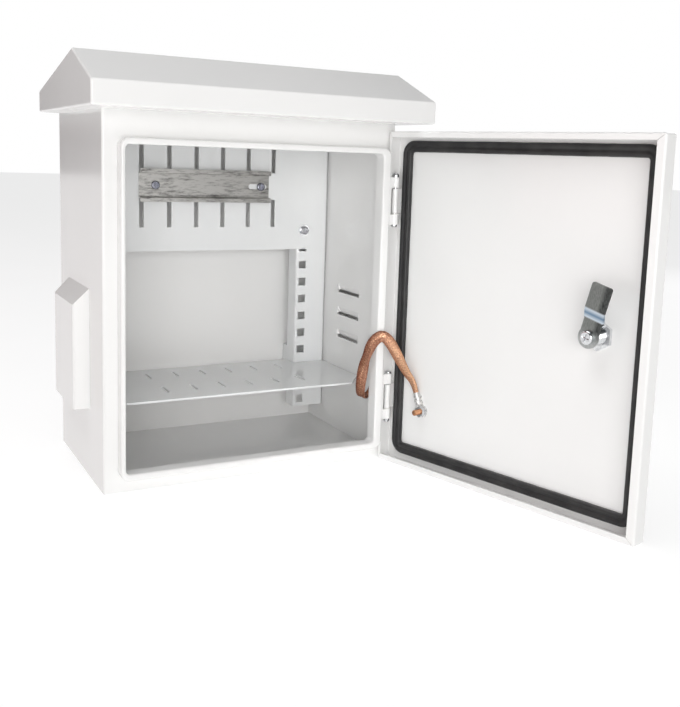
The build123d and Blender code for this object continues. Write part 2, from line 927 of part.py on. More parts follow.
def door_gasket():
    """Seal with a shallow groove along its middle."""
    top = door_inner + gasket_height
    seal = gasket_loop(0, (door_inner, top), gasket_radius)
    seal -= gasket_loop(gasket_width, (door_inner - 1, top + 1), gasket_radius - gasket_width + 1)
    side = (gasket_width - gasket_groove_width) / 2
    groove = gasket_loop(side, (top - gasket_groove_depth, top + 1), gasket_radius - side)
    inner_side = side + gasket_groove_width
    groove -= gasket_loop(inner_side, (top - gasket_groove_depth - 1, top + 2), gasket_radius - inner_side)
    return seal - groove


# Lock

def lock_x():
    """X of the lock's axis on the closed door."""
    return door_left + lock_inset


def lock_section(start, radius, flat, length):
    """Round bar along Y with two flats."""
    bar = rod(start, (0, 1, 0), radius, length)
    x, y, z = start
    return bar & slab((x - radius, x + radius), (y, y + length), (z - flat / 2, z + flat / 2))


def cam_plane():
    """Y of the cam's face towards the door: its tip, a step away, passes just behind the border."""
    return body_front + sheet + touch - cam_step


def lock_body():
    """Threaded housing with a round face outside and a bore for the core."""
    start = (lock_x(), door_front, lock_height)
    length = cam_plane() - touch - door_front
    body = lock_section(start, lock_thread / 2, lock_flat, length)
    face_start = (lock_x(), door_front - lock_face_thickness, lock_height)
    face = rod(face_start, (0, 1, 0), lock_face_diameter / 2, lock_face_thickness)
    rim = face.edges().filter_by(GeomType.CIRCLE).sort_by(Axis.Y)[0]
    face = fillet(rim, lock_face_thickness * 0.6)
    bore = rod(
        (lock_x(), door_front - lock_face_thickness - 1, lock_height),
        (0, 1, 0),
        lock_core_diameter / 2 + lock_core_clearance,
        lock_face_thickness + length + 2,
    )
    return body + face - bore


def lock_nut():
    """Hexagon nut on the door's inner face, one corner down."""
    start = (lock_x(), door_inner, lock_height)
    nut = hexagon(start, (0, 1, 0), lock_nut_flat, lock_nut_thickness)
    hole = rod(start, (0, 1, 0), lock_thread / 2 + bore_clearance, lock_nut_thickness)
    return nut - hole


def lock_core():
    """Turning core with a key slot in front and a square end for the cam."""
    front = door_front - lock_face_thickness + lock_core_proud
    length = cam_plane() - front
    core = rod((lock_x(), front, lock_height), (0, 1, 0), lock_core_diameter / 2, length)
    half = core_square / 2
    end = slab(
        (lock_x() - half, lock_x() + half),
        (cam_plane(), cam_plane() + cam_sheet - touch / 3),
        (lock_height - half, lock_height + half),
    )
    key_span = (front - 1, front + key_slot_depth)
    key_slot = front_slot(lock_x(), lock_height, key_slot_width, key_slot_height, key_span)
    thread = rod((lock_x(), cam_plane() - 8, lock_height), (0, 1, 0), cam_screw[0] / 2 + bore_clearance, 20)
    return core + end - key_slot - thread


def lock_cam():
    """Stepped cam that points to the door's free edge when locked."""
    face = cam_plane() + cam_sheet / 2
    tip = face + cam_step
    points = [
        (lock_thread / 2 + 1, face),
        (-cam_step_start, face),
        (-cam_step_end, tip),
        (-cam_length(), tip),
    ]
    strip = folded_strip(
        points,
        cam_sheet,
        cam_sheet,
        (lock_x(), 0, lock_height - cam_width / 2),
        (1, 0, 0),
        (0, 0, 1),
        cam_width,
    )
    return strip & cam_outline()


def cam_length():
    """Reach of the cam from its axis, which ends short of the side wall."""
    return lock_x() - body_left - sheet - cam_wall_gap


def cam_outline():
    """Block with the cam's outline as seen from the front."""
    y_span = (cam_plane() - 10, cam_plane() + 20)
    x, z = lock_x(), lock_height
    length = y_span[1] - y_span[0]
    outline = rod((x, y_span[0], z), (0, 1, 0), cam_width / 2, length)
    neck = cam_neck_width / 2
    outline += slab((x - cam_step_end, x), y_span, (z - neck, z + neck))
    half = cam_width / 2
    tip_span = (x - cam_length(), x - cam_step_start + cam_corner_radius)
    outline += front_block(tip_span, (z - half, z + half), y_span, cam_corner_radius)
    hole = core_square / 2 + bore_clearance
    return outline - slab((x - hole, x + hole), y_span, (z - hole, z + hole))


def cam_screw_part():
    """Screw that clamps the cam on the core."""
    seat = (lock_x(), cam_plane() + cam_sheet, lock_height)
    return pan_screw(seat, (0, 1, 0), cam_screw, cam_screw_length)


def cam_turned(part):
    """A turning piece of the lock, from locked to where it stands."""
    there = Pos(lock_x(), 0, lock_height)
    return there * Rot(Y=cam_rest_turn) * Pos(-lock_x(), 0, -lock_height) * part


# Earth strap and its ends

def stud_x():
    """X of the earth stud on the closed door."""
    return door_right - stud_inset


def door_stud():
    """Welded stud on the door's inner face."""
    stud = rod((stud_x(), door_inner, stud_height), (0, 1, 0), stud_diameter / 2, stud_length)
    return chamfer(stud.edges().filter_by(GeomType.CIRCLE).sort_by(Axis.Y)[-1], 0.6)


def wall_x():
    """Inner face of the right wall."""
    return body_right - sheet


def wall_stud_y():
    """Y of the stud on the wall."""
    return body_front + wall_stud_setback


def wall_stud():
    """Welded stud on the inner face of the right wall."""
    stud = rod((wall_x(), wall_stud_y(), wall_stud_height), (-1, 0, 0), stud_diameter / 2, wall_stud_length)
    return chamfer(stud.edges().filter_by(GeomType.CIRCLE).sort_by(Axis.X)[0], 0.6)


def cable_lug():
    """Ring lug lying on the XY plane, its crimp barrel pointing along +Y."""
    ring = Circle(lug_ring / 2) + Pos(0, lug_reach / 2 - 2) * Rectangle(2 * lug_crimp_radius, lug_reach - 4)
    plate = extrude(ring, amount=lug_sheet)
    crimp_start = (0, lug_reach - lug_crimp_length, lug_crimp_radius)
    crimp = rod(crimp_start, (0, 1, 0), lug_crimp_radius, lug_crimp_length)
    lug = plate + crimp
    return lug - rod((0, 0, -1), (0, 0, 1), stud_diameter / 2 + bore_clearance, 2 * lug_crimp_radius)


def door_lug():
    """The lug on the door's stud, tilted towards the hinge."""
    plane = Plane(
        origin=(stud_x(), door_inner, stud_height),
        x_dir=(-cos(radians(lug_tilt)), 0, sin(radians(lug_tilt))),
        z_dir=(0, 1, 0),
    )
    return plane.location * cable_lug()


def wall_lug():
    """The lug on the wall's stud, pointing down."""
    plane = Plane(origin=(wall_x(), wall_stud_y(), wall_stud_height), x_dir=(0, -1, 0), z_dir=(-1, 0, 0))
    return plane.location * cable_lug()


def earth_nut(start, direction):
    """Thin hexagon nut on a stud."""
    nut = hexagon(start, direction, earth_nut_flat, earth_nut_thickness)
    return nut - rod(start, direction, stud_diameter / 2 + bore_clearance, earth_nut_thickness)


def door_lug_axis(reach):
    """Point on the axis of the door lug's barrel, on the opened door."""
    tilt = radians(lug_tilt)
    closed = (stud_x() + reach * sin(tilt), door_inner + lug_crimp_radius, stud_height + reach * cos(tilt))
    return at_door(closed)


def strap_points():
    """Route of the strap from one lug's end to the other's, straight out of both."""
    x = wall_x() - lug_crimp_radius
    end = (x, wall_stud_y(), wall_stud_height - lug_reach)
    tail = (x, wall_stud_y(), wall_stud_height - lug_reach - strap_wall_lead)
    lead = door_lug_axis(lug_reach + strap_door_lead)
    return [door_lug_axis(lug_reach), lead, *strap_route, tail, end]


def strap_radii(points):
    """Bend radius at each inner point: 0.45 of the shorter run over the half turn's tangent."""
    radii = []
    for before, here, after in zip(points, points[1:], points[2:]):
        arriving = Vector(*here) - Vector(*before)
        leaving = Vector(*after) - Vector(*here)
        half_turn = radians(arriving.get_angle(leaving)) / 2
        shorter = min(arriving.length, leaving.length)
        radii.append(0.45 * shorter * cos(half_turn) / sin(half_turn))
    return radii


def earth_strap():
    """Plain tube along the strap's route."""
    points = strap_points()
    radii = strap_radii(points)
    path = FilletPolyline(*points, radius=radii)
    section = Plane(origin=path @ 0, z_dir=path % 0) * Circle(strap_radius)
    print("strap length", round(path.length, 1), "radii", [round(r, 1) for r in radii])
    strap = sweep(section, path=path)
    print("strap volume ratio", round(strap.volume / (section.area * path.length), 4))
    return strap


def save(name, part):
    """Write one node, a solid or a group of separate solids."""
    shape = Compound(children=list(part)) if isinstance(part, list) else part
    export_step(shape, f"parts/{name}.step")


def save_body():
    """Everything that stays still with the cabinet."""
    save("cabinet_shell", cabinet_shell())
    save("rain_hood", rain_hood())
    save("hood_screws", hood_screws())
    save("hood_nuts", hood_nuts())
    save("right_vent_hood", right_vent_hood())
    save("left_vent_hood", mirrored(right_vent_hood()))
    save("right_upright", right_upright())
    save("left_upright", mirrored(right_upright()))
    save("upright_brackets", right_brackets() + [mirrored(b) for b in right_brackets()])
    save("mounting_panel", mounting_panel())
    save("din_rail", din_rail())
    save("din_rail_screws", din_rail_screws())
    save("din_rail_nuts", din_rail_nuts())
    save("shelf", shelf())
    save("rack_screws", rack_screws())
    save("rack_washers", rack_washers())
    save("cage_nuts", cage_nuts())
    for label, height in zip(("lower", "upper"), hinge_heights):
        save(f"{label}_hinge_frame_leaf", frame_leaf(height))
        save(f"{label}_hinge_pin", hinge_pin(height))
    save("hinge_washers", [hinge_washer(height) for height in hinge_heights])
    save("wall_earth_stud", wall_stud())
    save("wall_strap_lug", wall_lug())
    save("wall_earth_nut", earth_nut((wall_x() - lug_sheet, wall_stud_y(), wall_stud_height), (-1, 0, 0)))
    save("earth_strap", earth_strap())


def save_door():
    """Everything that swings with the door."""
    save("door_panel", opened(door_panel()))
    save("door_gasket", opened(door_gasket()))
    for label, height in zip(("lower", "upper"), hinge_heights):
        save(f"{label}_hinge_door_leaf", opened(door_leaf(height)))
    save("lock_body", opened(lock_body()))
    save("lock_nut", opened(lock_nut()))
    save("door_earth_stud", opened(door_stud()))
    save("door_strap_lug", opened(door_lug()))
    save("door_earth_nut", opened(earth_nut((stud_x(), door_inner + lug_sheet, stud_height), (0, 1, 0))))


def save_lock():
    """What the key turns."""
    save("lock_core", opened(cam_turned(lock_core())))
    save("lock_cam", opened(cam_turned(lock_cam())))
    save("cam_screw", opened(cam_turned(cam_screw_part())))


os.makedirs("parts", exist_ok=True)
save_body()
save_door()
save_lock()
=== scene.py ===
"""Dresses the small gabled utility cabinet for its portrait.

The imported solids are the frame: every piece here is laid out in that frame. Sizes are
written in millimetres and turned into metres when a mesh is made. The cabinet looks
towards -Y and Z is up. What sits on the door is laid out on the closed door and then
swung about the hinge pins to the open position, as the solids are.
"""

from __future__ import annotations

import json
import logging
import math
from dataclasses import dataclass, field
from enum import Enum

import bmesh
import bpy
import numpy as np
from mathutils import Matrix, Vector

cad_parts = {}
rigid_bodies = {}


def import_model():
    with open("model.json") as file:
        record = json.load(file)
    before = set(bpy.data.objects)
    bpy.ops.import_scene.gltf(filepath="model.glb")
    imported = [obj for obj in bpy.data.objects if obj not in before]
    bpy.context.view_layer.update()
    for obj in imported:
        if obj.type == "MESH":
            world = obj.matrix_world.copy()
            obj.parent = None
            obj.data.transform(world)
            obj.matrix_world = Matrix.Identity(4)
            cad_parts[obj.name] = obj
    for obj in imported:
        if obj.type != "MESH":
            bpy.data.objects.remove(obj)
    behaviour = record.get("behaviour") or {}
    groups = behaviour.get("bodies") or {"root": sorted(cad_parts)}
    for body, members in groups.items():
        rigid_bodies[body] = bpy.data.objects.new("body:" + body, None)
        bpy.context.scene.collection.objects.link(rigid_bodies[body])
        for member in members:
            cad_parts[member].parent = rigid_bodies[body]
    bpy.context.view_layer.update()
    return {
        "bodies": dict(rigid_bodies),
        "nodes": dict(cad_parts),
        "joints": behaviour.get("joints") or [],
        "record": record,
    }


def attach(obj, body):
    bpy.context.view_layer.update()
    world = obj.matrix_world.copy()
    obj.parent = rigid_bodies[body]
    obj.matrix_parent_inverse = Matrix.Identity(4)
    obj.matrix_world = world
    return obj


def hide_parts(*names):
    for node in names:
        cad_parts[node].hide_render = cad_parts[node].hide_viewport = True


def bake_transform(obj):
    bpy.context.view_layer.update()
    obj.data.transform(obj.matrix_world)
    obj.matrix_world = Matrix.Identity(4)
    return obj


LOG = logging.getLogger("cabinet")
MM = 0.001

Colour = tuple[float, float, float]
Point = tuple[float, float, float]
Span = tuple[float, float]
Stops = tuple[tuple[float, Colour], ...]
Array = np.ndarray
Socket = bpy.types.NodeSocket
Feed = Socket | float | Point
Material = bpy.types.Material
Piece = bpy.types.Object

BLACK: Colour = (0.0, 0.0, 0.0)
WHITE: Colour = (1.0, 1.0, 1.0)


class Body(Enum):
    """The moving bodies that the added pieces ride on."""

    CABINET = "cabinet"
    DOOR = "door"


class Pattern(Enum):
    """How a metal's tone varies over its surface."""

    EVEN = "even"
    STREAKS = "streaks"


class ShaderGraph:
    """The shader of a material or of the room, with short calls for the nodes before it."""

    def __init__(
        self, owner: Material | bpy.types.World, shader: str = "Principled BSDF"
    ) -> None:
        """Takes up the tree of a new material or world.

        Args:
            owner: The material or world.
            shader: Name of its shader.
        """
        owner.use_nodes = True
        self.nodes = owner.node_tree.nodes
        self.links = owner.node_tree.links
        self.shader = self.nodes[shader]
        self.coordinates = self.nodes.new("ShaderNodeTexCoord")

    def feed(self, socket: Socket, value: Feed) -> None:
        """Gives one socket a plain value, or leads another's into it.

        Args:
            socket: The socket.
            value: What it receives.
        """
        if isinstance(value, Socket):
            self.links.new(value, socket)
        else:
            socket.default_value = (*value, 1.0) if socket.type == "RGBA" else value

    def fill(self, node: bpy.types.Node, values: dict[str, Feed]) -> None:
        """Fills sockets of a node.

        Args:
            node: The node.
            values: Socket names with underscores for spaces, and what they receive.
        """
        for key, value in values.items():
            self.feed(node.inputs[key.replace("_", " ")], value)

    def add(self, kind: str, **values: Feed) -> bpy.types.Node:
        """Adds a node.

        Args:
            kind: Type of the node, without the common start of its name.
            values: Socket names with underscores for spaces, and what they receive.

        Returns:
            The new node.
        """
        node = self.nodes.new(f"ShaderNode{kind}")
        self.fill(node, values)
        return node

    def shade(self, **values: Feed) -> None:
        """Fills sockets of the shader.

        Args:
            values: Socket names with underscores for spaces, and what they receive.
        """
        self.fill(self.shader, values)

    def place(self, stretch: Point = (1.0, 1.0, 1.0), source: str = "Object") -> Socket:
        """Coordinates of the surface, stretched along the axes.

        Args:
            stretch: Factors along X, Y and Z.
            source: Output of the coordinate node.

        Returns:
            The socket that carries the coordinates.
        """
        node = self.add("Mapping", Vector=self.coordinates.outputs[source], Scale=stretch)
        return node.outputs["Vector"]

    def along(self, direction: Point, origin: Point) -> Socket:
        """Distance of the surface from a point, along a direction.

        Args:
            direction: Direction of length one.
            origin: Where the distance is nought, in millimetres.

        Returns:
            The socket of the distance in metres.
        """
        shift = self.add("VectorMath", Vector=self.coordinates.outputs["Object"])
        shift.operation = "SUBTRACT"
        shift.inputs[1].default_value = tuple(c * MM for c in origin)
        dot = self.add("VectorMath", Vector=shift.outputs["Vector"])
        dot.operation = "DOT_PRODUCT"
        dot.inputs[1].default_value = direction
        return dot.outputs["Value"]

    def noise(
        self, scale: float, detail: float = 2.0, rough: float = 0.5, place: Socket | None = None
    ) -> Socket:
        """Smooth noise, from 0 to 1.

        Args:
            scale: Number of features in a metre.
            detail: Number of finer layers.
            rough: Strength of the finer layers.
            place: Coordinates, or the plain ones.

        Returns:
            The socket of the noise.
        """
        place = place or self.coordinates.outputs["Object"]
        node = self.add("TexNoise", Vector=place, Scale=scale, Detail=detail, Roughness=rough)
        return node.outputs["Fac"]

    def ramp(self, value: Socket, stops: Stops) -> Socket:
        """Colours along a value.

        Args:
            value: The value that picks the colour.
            stops: Places from 0 to 1 with their colours.

        Returns:
            The socket of the colour.
        """
        node = self.add("ValToRGB", Fac=value)
        elements = node.color_ramp.elements
        for _ in stops[2:]:
            elements.new(0.5)
        for element, (spot, colour) in zip(elements, stops):
            element.position = spot
            element.color = (*colour, 1.0)
        return node.outputs["Color"]

    def mix(self, share: Feed, one: Feed, two: Feed) -> Socket:
        """Two colours mixed.

        Args:
            share: Share of the second colour.
            one: First colour.
            two: Second colour.

        Returns:
            The socket of the mixed colour.
        """
        node = self.nodes.new("ShaderNodeMix")
        node.data_type = "RGBA"
        for index, value in ((0, share), (6, one), (7, two)):
            self.feed(node.inputs[index], value)
        return node.outputs[2]

    def spread(self, value: Socket, low: float, high: float, span: Span = (0.0, 1.0)) -> Socket:
        """A value spread over a range.

        Args:
            value: The value.
            low: Result at the span's start.
            high: Result at the span's end.
            span: Range of the value.

        Returns:
            The socket of the result.
        """
        ends = {"From_Min": span[0], "From_Max": span[1], "To_Min": low, "To_Max": high}
        return self.add("MapRange", Value=value, **ends).outputs["Result"]

    def part(self, place: Socket, axis: str) -> Socket:
        """Size of one coordinate, without its sign.

        Args:
            place: Coordinates.
            axis: Name of the axis.

        Returns:
            The socket of the size.
        """
        split = self.add("SeparateXYZ", Vector=place)
        node = self.add("Math", Value=split.outputs[axis])
        node.operation = "ABSOLUTE"
        return node.outputs["Value"]

    def bump(
        self, height: Socket, strength: float, depth: float, below: Socket | None = None
    ) -> Socket:
        """Relief of the surface.

        Args:
            height: Height from 0 to 1.
            strength: Share of the relief that shows.
            depth: Height of the relief in metres.
            below: A coarser relief under this one.

        Returns:
            The socket of the surface direction.
        """
        node = self.add("Bump", Height=height, Strength=strength, Distance=depth)
        if below is not None:
            self.links.new(below, node.inputs["Normal"])
        return node.outputs["Normal"]


@dataclass(frozen=True)
class Finish:
    """What every finish has: a name and two colours that its pattern runs between."""

    name: str
    light: Colour
    dark: Colour

    def paint(self, graph: ShaderGraph) -> None:
        """Lays the pattern out; each finish has its own."""
        raise NotImplementedError

    def make(self) -> Material:
        """Makes the material.

        Returns:
            The material with its pattern.
        """
        material = bpy.data.materials.new(self.name)
        self.paint(ShaderGraph(material))
        return material


@dataclass(frozen=True)
class PowderCoat(Finish):
    """Baked powder paint: a fine orange peel, faint clouds of tone and a satin shine."""

    roughness: float
    uneven: float = 0.03
    cloud_scale: float = 9.0
    peel_scale: float = 900.0
    peel_strength: float = 0.035
    peel_depth: float = 0.0002

    def paint(self, graph: ShaderGraph) -> None:
        """Lays the pattern out.

        Args:
            graph: Graph of the material.
        """
        clouds = graph.noise(self.cloud_scale, 4.0)
        satin = graph.noise(self.peel_scale / 6)
        smooth, dull = self.roughness - self.uneven, self.roughness + self.uneven
        broad, fine = graph.noise(self.peel_scale / 5), graph.noise(self.peel_scale, 1.0)
        coarse = graph.bump(broad, self.peel_strength, self.peel_depth)
        graph.shade(
            Base_Color=graph.ramp(clouds, ((0.35, self.dark), (0.65, self.light))),
            Roughness=graph.spread(satin, smooth, dull),
            Normal=graph.bump(fine, self.peel_strength, self.peel_depth / 2, below=coarse),
            IOR=1.5,
            Specular_IOR_Level=0.5,
        )


@dataclass(frozen=True)
class BareMetal(Finish):
    """Plated or galvanised metal, even or streaked along its length."""

    roughness: Span
    pattern: Pattern = Pattern.EVEN
    scale: float = 300.0
    stretch: Point = (1.0, 1.0, 1.0)
    relief: float = 0.00003
    stops: Span = (0.25, 0.70)

    def paint(self, graph: ShaderGraph) -> None:
        """Lays the pattern out.

        Args:
            graph: Graph of the material.
        """
        place = graph.place(self.stretch)
        if self.pattern is Pattern.EVEN:
            tone = graph.noise(self.scale, 3.0, 0.6, place)
        else:
            blotches = graph.noise(self.scale / 3, 3.0, 0.6, place)
            tone = graph.mix(0.6, blotches, graph.noise(self.scale * 2, 5.0, 0.7, place))
        smooth, dull = self.roughness
        colours = tuple(zip(self.stops, (self.dark, self.light)))
        scratches = graph.noise(self.scale * 6, 2.0, 0.5, place)
        graph.shade(
            Base_Color=graph.ramp(tone, colours),
            Roughness=graph.spread(tone, dull, smooth),
            Normal=graph.bump(scratches, 0.35, self.relief),
            Metallic=1.0,
        )


@dataclass(frozen=True)
class CamSteel(Finish):
    """Dull zinc-plated strip, with painted shade along one edge, a painted highlight round its
    hub and a painted bluish reflection over its bend.
    """

    # Colours of the painted highlight round the hub, and of the painted reflection's rims and
    # middle over the bend.
    hub_highlight: Colour
    ridge: Colour
    bend_reflection_core: Colour
    pivot: Point
    lengthwise: Point
    crosswise: Point
    bend: Span
    reach: float
    shade_run: Span = (0.0015, 0.0060)
    shade_depth: Span = (0.2, 0.7)
    hub_highlight_run: Span = (-0.004, 0.008)
    soft: float = 0.03

    def paint(self, graph: ShaderGraph) -> None:
        """Lays the pattern out.

        Args:
            graph: Graph of the material.
        """
        grain = graph.noise(900.0, 5.0, 0.65, graph.place((1.0, 1.0, 0.35)))
        along = graph.along(self.lengthwise, self.pivot)
        plain = graph.ramp(grain, ((0.3, self.dark), (0.7, self.light)))
        deep, dim = (tuple(c * share for c in self.dark) for share in self.shade_depth)
        # Painted shade: the strip darkens across towards one edge.
        across = graph.along(self.crosswise, self.pivot)
        shade = graph.spread(across, 0.0, 1.0, self.shade_run)
        plain = graph.mix(shade, plain, graph.ramp(grain, ((0.3, deep), (0.7, dim))))
        # Painted highlight: the strip is lighter round the hub near the pivot.
        hub_highlight = graph.spread(along, 1.0, 0.0, self.hub_highlight_run)
        plain = graph.mix(hub_highlight, plain, graph.ramp(grain, ((0.2, self.light), (0.8, self.hub_highlight))))
        # Painted bluish reflection over the bend: light at its rims and dark blue in its middle.
        run = graph.spread(along, 0.0, 1.0, (0.0, self.reach * MM))
        start, end = (spot / self.reach for spot in self.bend)
        middle = (start + end) / 2
        before, after = start - self.soft, end + self.soft
        bend_reflection_mask = graph.ramp(run, ((before, BLACK), (start, WHITE), (end, WHITE), (after, BLACK)))
        bend_reflection = graph.ramp(run, ((start, self.ridge), (middle, self.bend_reflection_core), (end, self.ridge)))
        graph.shade(
            Base_Color=graph.mix(bend_reflection_mask, plain, bend_reflection),
            Roughness=graph.spread(grain, 0.30, 0.50),
            Normal=graph.bump(grain, 0.3, 0.00004),
            Metallic=1.0,
        )


@dataclass(frozen=True)
class Braid(Finish):
    """Soft copper strands of fine wires, fresh at the braid's start and tarnished further on,
    with painted shade along each strand's sides.
    """

    bright: Colour
    fresh: Colour
    wires: float = 7.0
    fresh_run: Span = (4.0, 7.5)
    lining: float = 0.25

    def paint(self, graph: ShaderGraph) -> None:
        """Lays the pattern out.

        Args:
            graph: Graph of the material.
        """
        strand = graph.place(source="UV")
        wires = graph.add("TexWave", Vector=strand, Scale=self.wires).outputs["Fac"]
        clouds = graph.noise(420.0, 3.0)
        tarnish = graph.ramp(clouds, ((0.40, self.light), (0.62, self.bright)))
        fresh = graph.ramp(clouds, ((0.30, self.bright), (0.55, self.fresh)))
        age = graph.spread(graph.part(strand, "Y"), 0.0, 1.0, self.fresh_run)
        gaps = graph.ramp(wires, ((0.0, self.dark), (0.45, self.light)))
        lined = graph.mix(self.lining, graph.mix(age, fresh, tarnish), gaps)
        # Painted shade: each strand darkens towards its sides.
        edge = graph.ramp(graph.part(strand, "X"), ((0.62, BLACK), (1.0, WHITE)))
        shadow = graph.ramp(clouds, ((0.0, self.dark), (1.0, self.dark)))
        graph.shade(
            Base_Color=graph.mix(edge, lined, shadow),
            Roughness=graph.spread(clouds, 0.45, 0.3),
            Normal=graph.bump(wires, 0.6, 0.00008),
            Metallic=0.85,
        )


@dataclass(frozen=True)
class Foam(Finish):
    """Black foamed seal: fine pores under a slightly shiny skin."""

    def paint(self, graph: ShaderGraph) -> None:
        """Lays the pattern out.

        Args:
            graph: Graph of the material.
        """
        pores = graph.noise(1600.0, 3.0, 0.6)
        clouds = graph.noise(60.0, 3.0)
        graph.shade(
            Base_Color=graph.ramp(clouds, ((0.35, self.dark), (0.65, self.light))),
            Roughness=graph.spread(clouds, 0.34, 0.55),
            Normal=graph.bump(pores, 0.35, 0.0002),
            Specular_IOR_Level=0.45,
        )


@dataclass(frozen=True)
class Moulding(Finish):
    """Plain moulded plastic with a faint grain."""

    def paint(self, graph: ShaderGraph) -> None:
        """Lays the pattern out.

        Args:
            graph: Graph of the material.
        """
        grain = graph.noise(1200.0, 2.0)
        graph.shade(
            Base_Color=graph.ramp(grain, ((0.3, self.dark), (0.7, self.light))),
            Roughness=graph.spread(grain, 0.38, 0.5),
            Normal=graph.bump(grain, 0.2, 0.0001),
        )


class MeshBuilder:
    """Gathers grids of points and makes one piece of them."""

    def __init__(self) -> None:
        """Starts with nothing."""
        self.points: list[Array] = []
        self.faces: list[list[int]] = []
        self.marks: list[Array] = []
        self.count = 0

    def add_grid(self, grid: Array, wrap_rows: bool = False, marks: Array | None = None) -> None:
        """Adds a grid of points as four-sided faces, whose last column joins the first.

        Args:
            grid: Points as rows, columns and three coordinates, in millimetres.
            wrap_rows: Whether the last row joins the first; else a face closes each.
            marks: Two surface coordinates for each point.
        """
        rows, columns = grid.shape[:2]
        index = np.arange(rows * columns).reshape(rows, columns) + self.count
        down = np.concatenate([index, index[:1]]) if wrap_rows else index
        full = np.concatenate([down, down[:, :1]], axis=1)
        corners = [full[:-1, :-1], full[:-1, 1:], full[1:, 1:], full[1:, :-1]]
        self.faces += np.stack(corners, axis=-1).reshape(-1, 4).tolist()
        if not wrap_rows:
            self.faces += [index[0][::-1].tolist(), index[-1].tolist()]
        self.points.append(grid.reshape(-1, 3))
        flat = np.zeros((rows * columns, 2)) if marks is None else marks.reshape(-1, 2)
        self.marks.append(flat)
        self.count += rows * columns

    def make(self, name: str, body: Body | None, slot: str, material: Material) -> Piece:
        """Makes the piece, with its faces outwards.

        Args:
            name: Name of the piece.
            body: Body that it moves with, or None where it joins two.
            slot: Not used.
            material: Its material.

        Returns:
            The new object.
        """
        mesh = bpy.data.meshes.new(name)
        mesh.from_pydata((np.concatenate(self.points) * MM).tolist(), [], self.faces)
        layer = mesh.uv_layers.new(name="surface")
        corners = np.zeros(len(mesh.loops), np.int32)
        mesh.loops.foreach_get("vertex_index", corners)
        layer.data.foreach_set("uv", np.concatenate(self.marks)[corners].ravel())
        work = bmesh.new()
        work.from_mesh(mesh)
        bmesh.ops.recalc_face_normals(work, faces=work.faces)
        work.to_mesh(mesh)
        work.free()
        mesh.shade_smooth()
        mesh.materials.append(material)
        piece = bpy.data.objects.new(name, mesh)
        bpy.context.scene.collection.objects.link(piece)
        if body is not None:
            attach(piece, body.value)
        rider = body.value if body else "two bodies"
        LOG.info("%s: %d points, rides on %s", name, self.count, rider)
        return piece


def around(count: int) -> Array:
    """Angles round a full turn.

    Args:
        count: Number of angles.

    Returns:
        The angles in radians, without the closing one.
    """
    return np.linspace(0.0, 2 * np.pi, count, endpoint=False)


def quarter_turn(count: int) -> Array:
    """Angles over a quarter turn.

    Args:
        count: Number of angles.

    Returns:
        The angles in radians, both ends included.
    """
    return np.linspace(0.0, np.pi / 2, count)


def unit(vectors: Array) -> Array:
    """Vectors brought to length one.

    Args:
        vectors: Any array whose last axis has the coordinates.

    Returns:
        The same directions with length one.
    """
    return vectors / np.linalg.norm(vectors, axis=-1, keepdims=True)


def run_along(points: Array) -> Array:
    """Distances of the points of a line from its start, along the line.

    Args:
        points: Points in order.

    Returns:
        The distances, each the sum of the steps before it.
    """
    steps = np.linalg.norm(np.diff(points, axis=0), axis=1)
    return np.concatenate([[0.0], np.cumsum(steps)])


def squared_circle(angle: Array, power: float) -> tuple[Array, Array]:
    """A circle with flattened sides: its coordinates' sizes are raised to a power.

    Args:
        angle: Angles round the circle.
        power: The power, below one.

    Returns:
        The two coordinates at each angle.
    """
    x, z = np.cos(angle), np.sin(angle)
    return np.sign(x) * np.abs(x) ** power, np.sign(z) * np.abs(z) ** power


def mark_sharp(piece: Piece, angle: float) -> None:
    """Shades a piece smooth except over edges sharper than an angle.

    Args:
        piece: The piece.
        angle: The angle in degrees.
    """
    mesh = piece.data
    work = bmesh.new()
    work.from_mesh(mesh)
    limit = math.radians(angle)
    for edge in work.edges:
        edge.smooth = not (edge.is_manifold and edge.calc_face_angle(0.0) > limit)
    work.to_mesh(mesh)
    work.free()


@dataclass(frozen=True)
class DoorSwing:
    """The hinge axis and the angle that the door stands open."""

    x: float = 147.3
    y: float = -101.8
    angle: float = 105.5

    def turned(self, points: Array) -> Array:
        """Points of the closed door where the open door has them.

        A point turns about the vertical hinge axis by the door's angle.

        Args:
            points: Points in millimetres on the closed door.

        Returns:
            The points on the open door.
        """
        turn = math.radians(self.angle)
        dx, dy = points[..., 0] - self.x, points[..., 1] - self.y
        x = self.x + dx * math.cos(turn) - dy * math.sin(turn)
        y = self.y + dx * math.sin(turn) + dy * math.cos(turn)
        return np.stack([x, y, points[..., 2]], axis=-1)


SWING = DoorSwing()


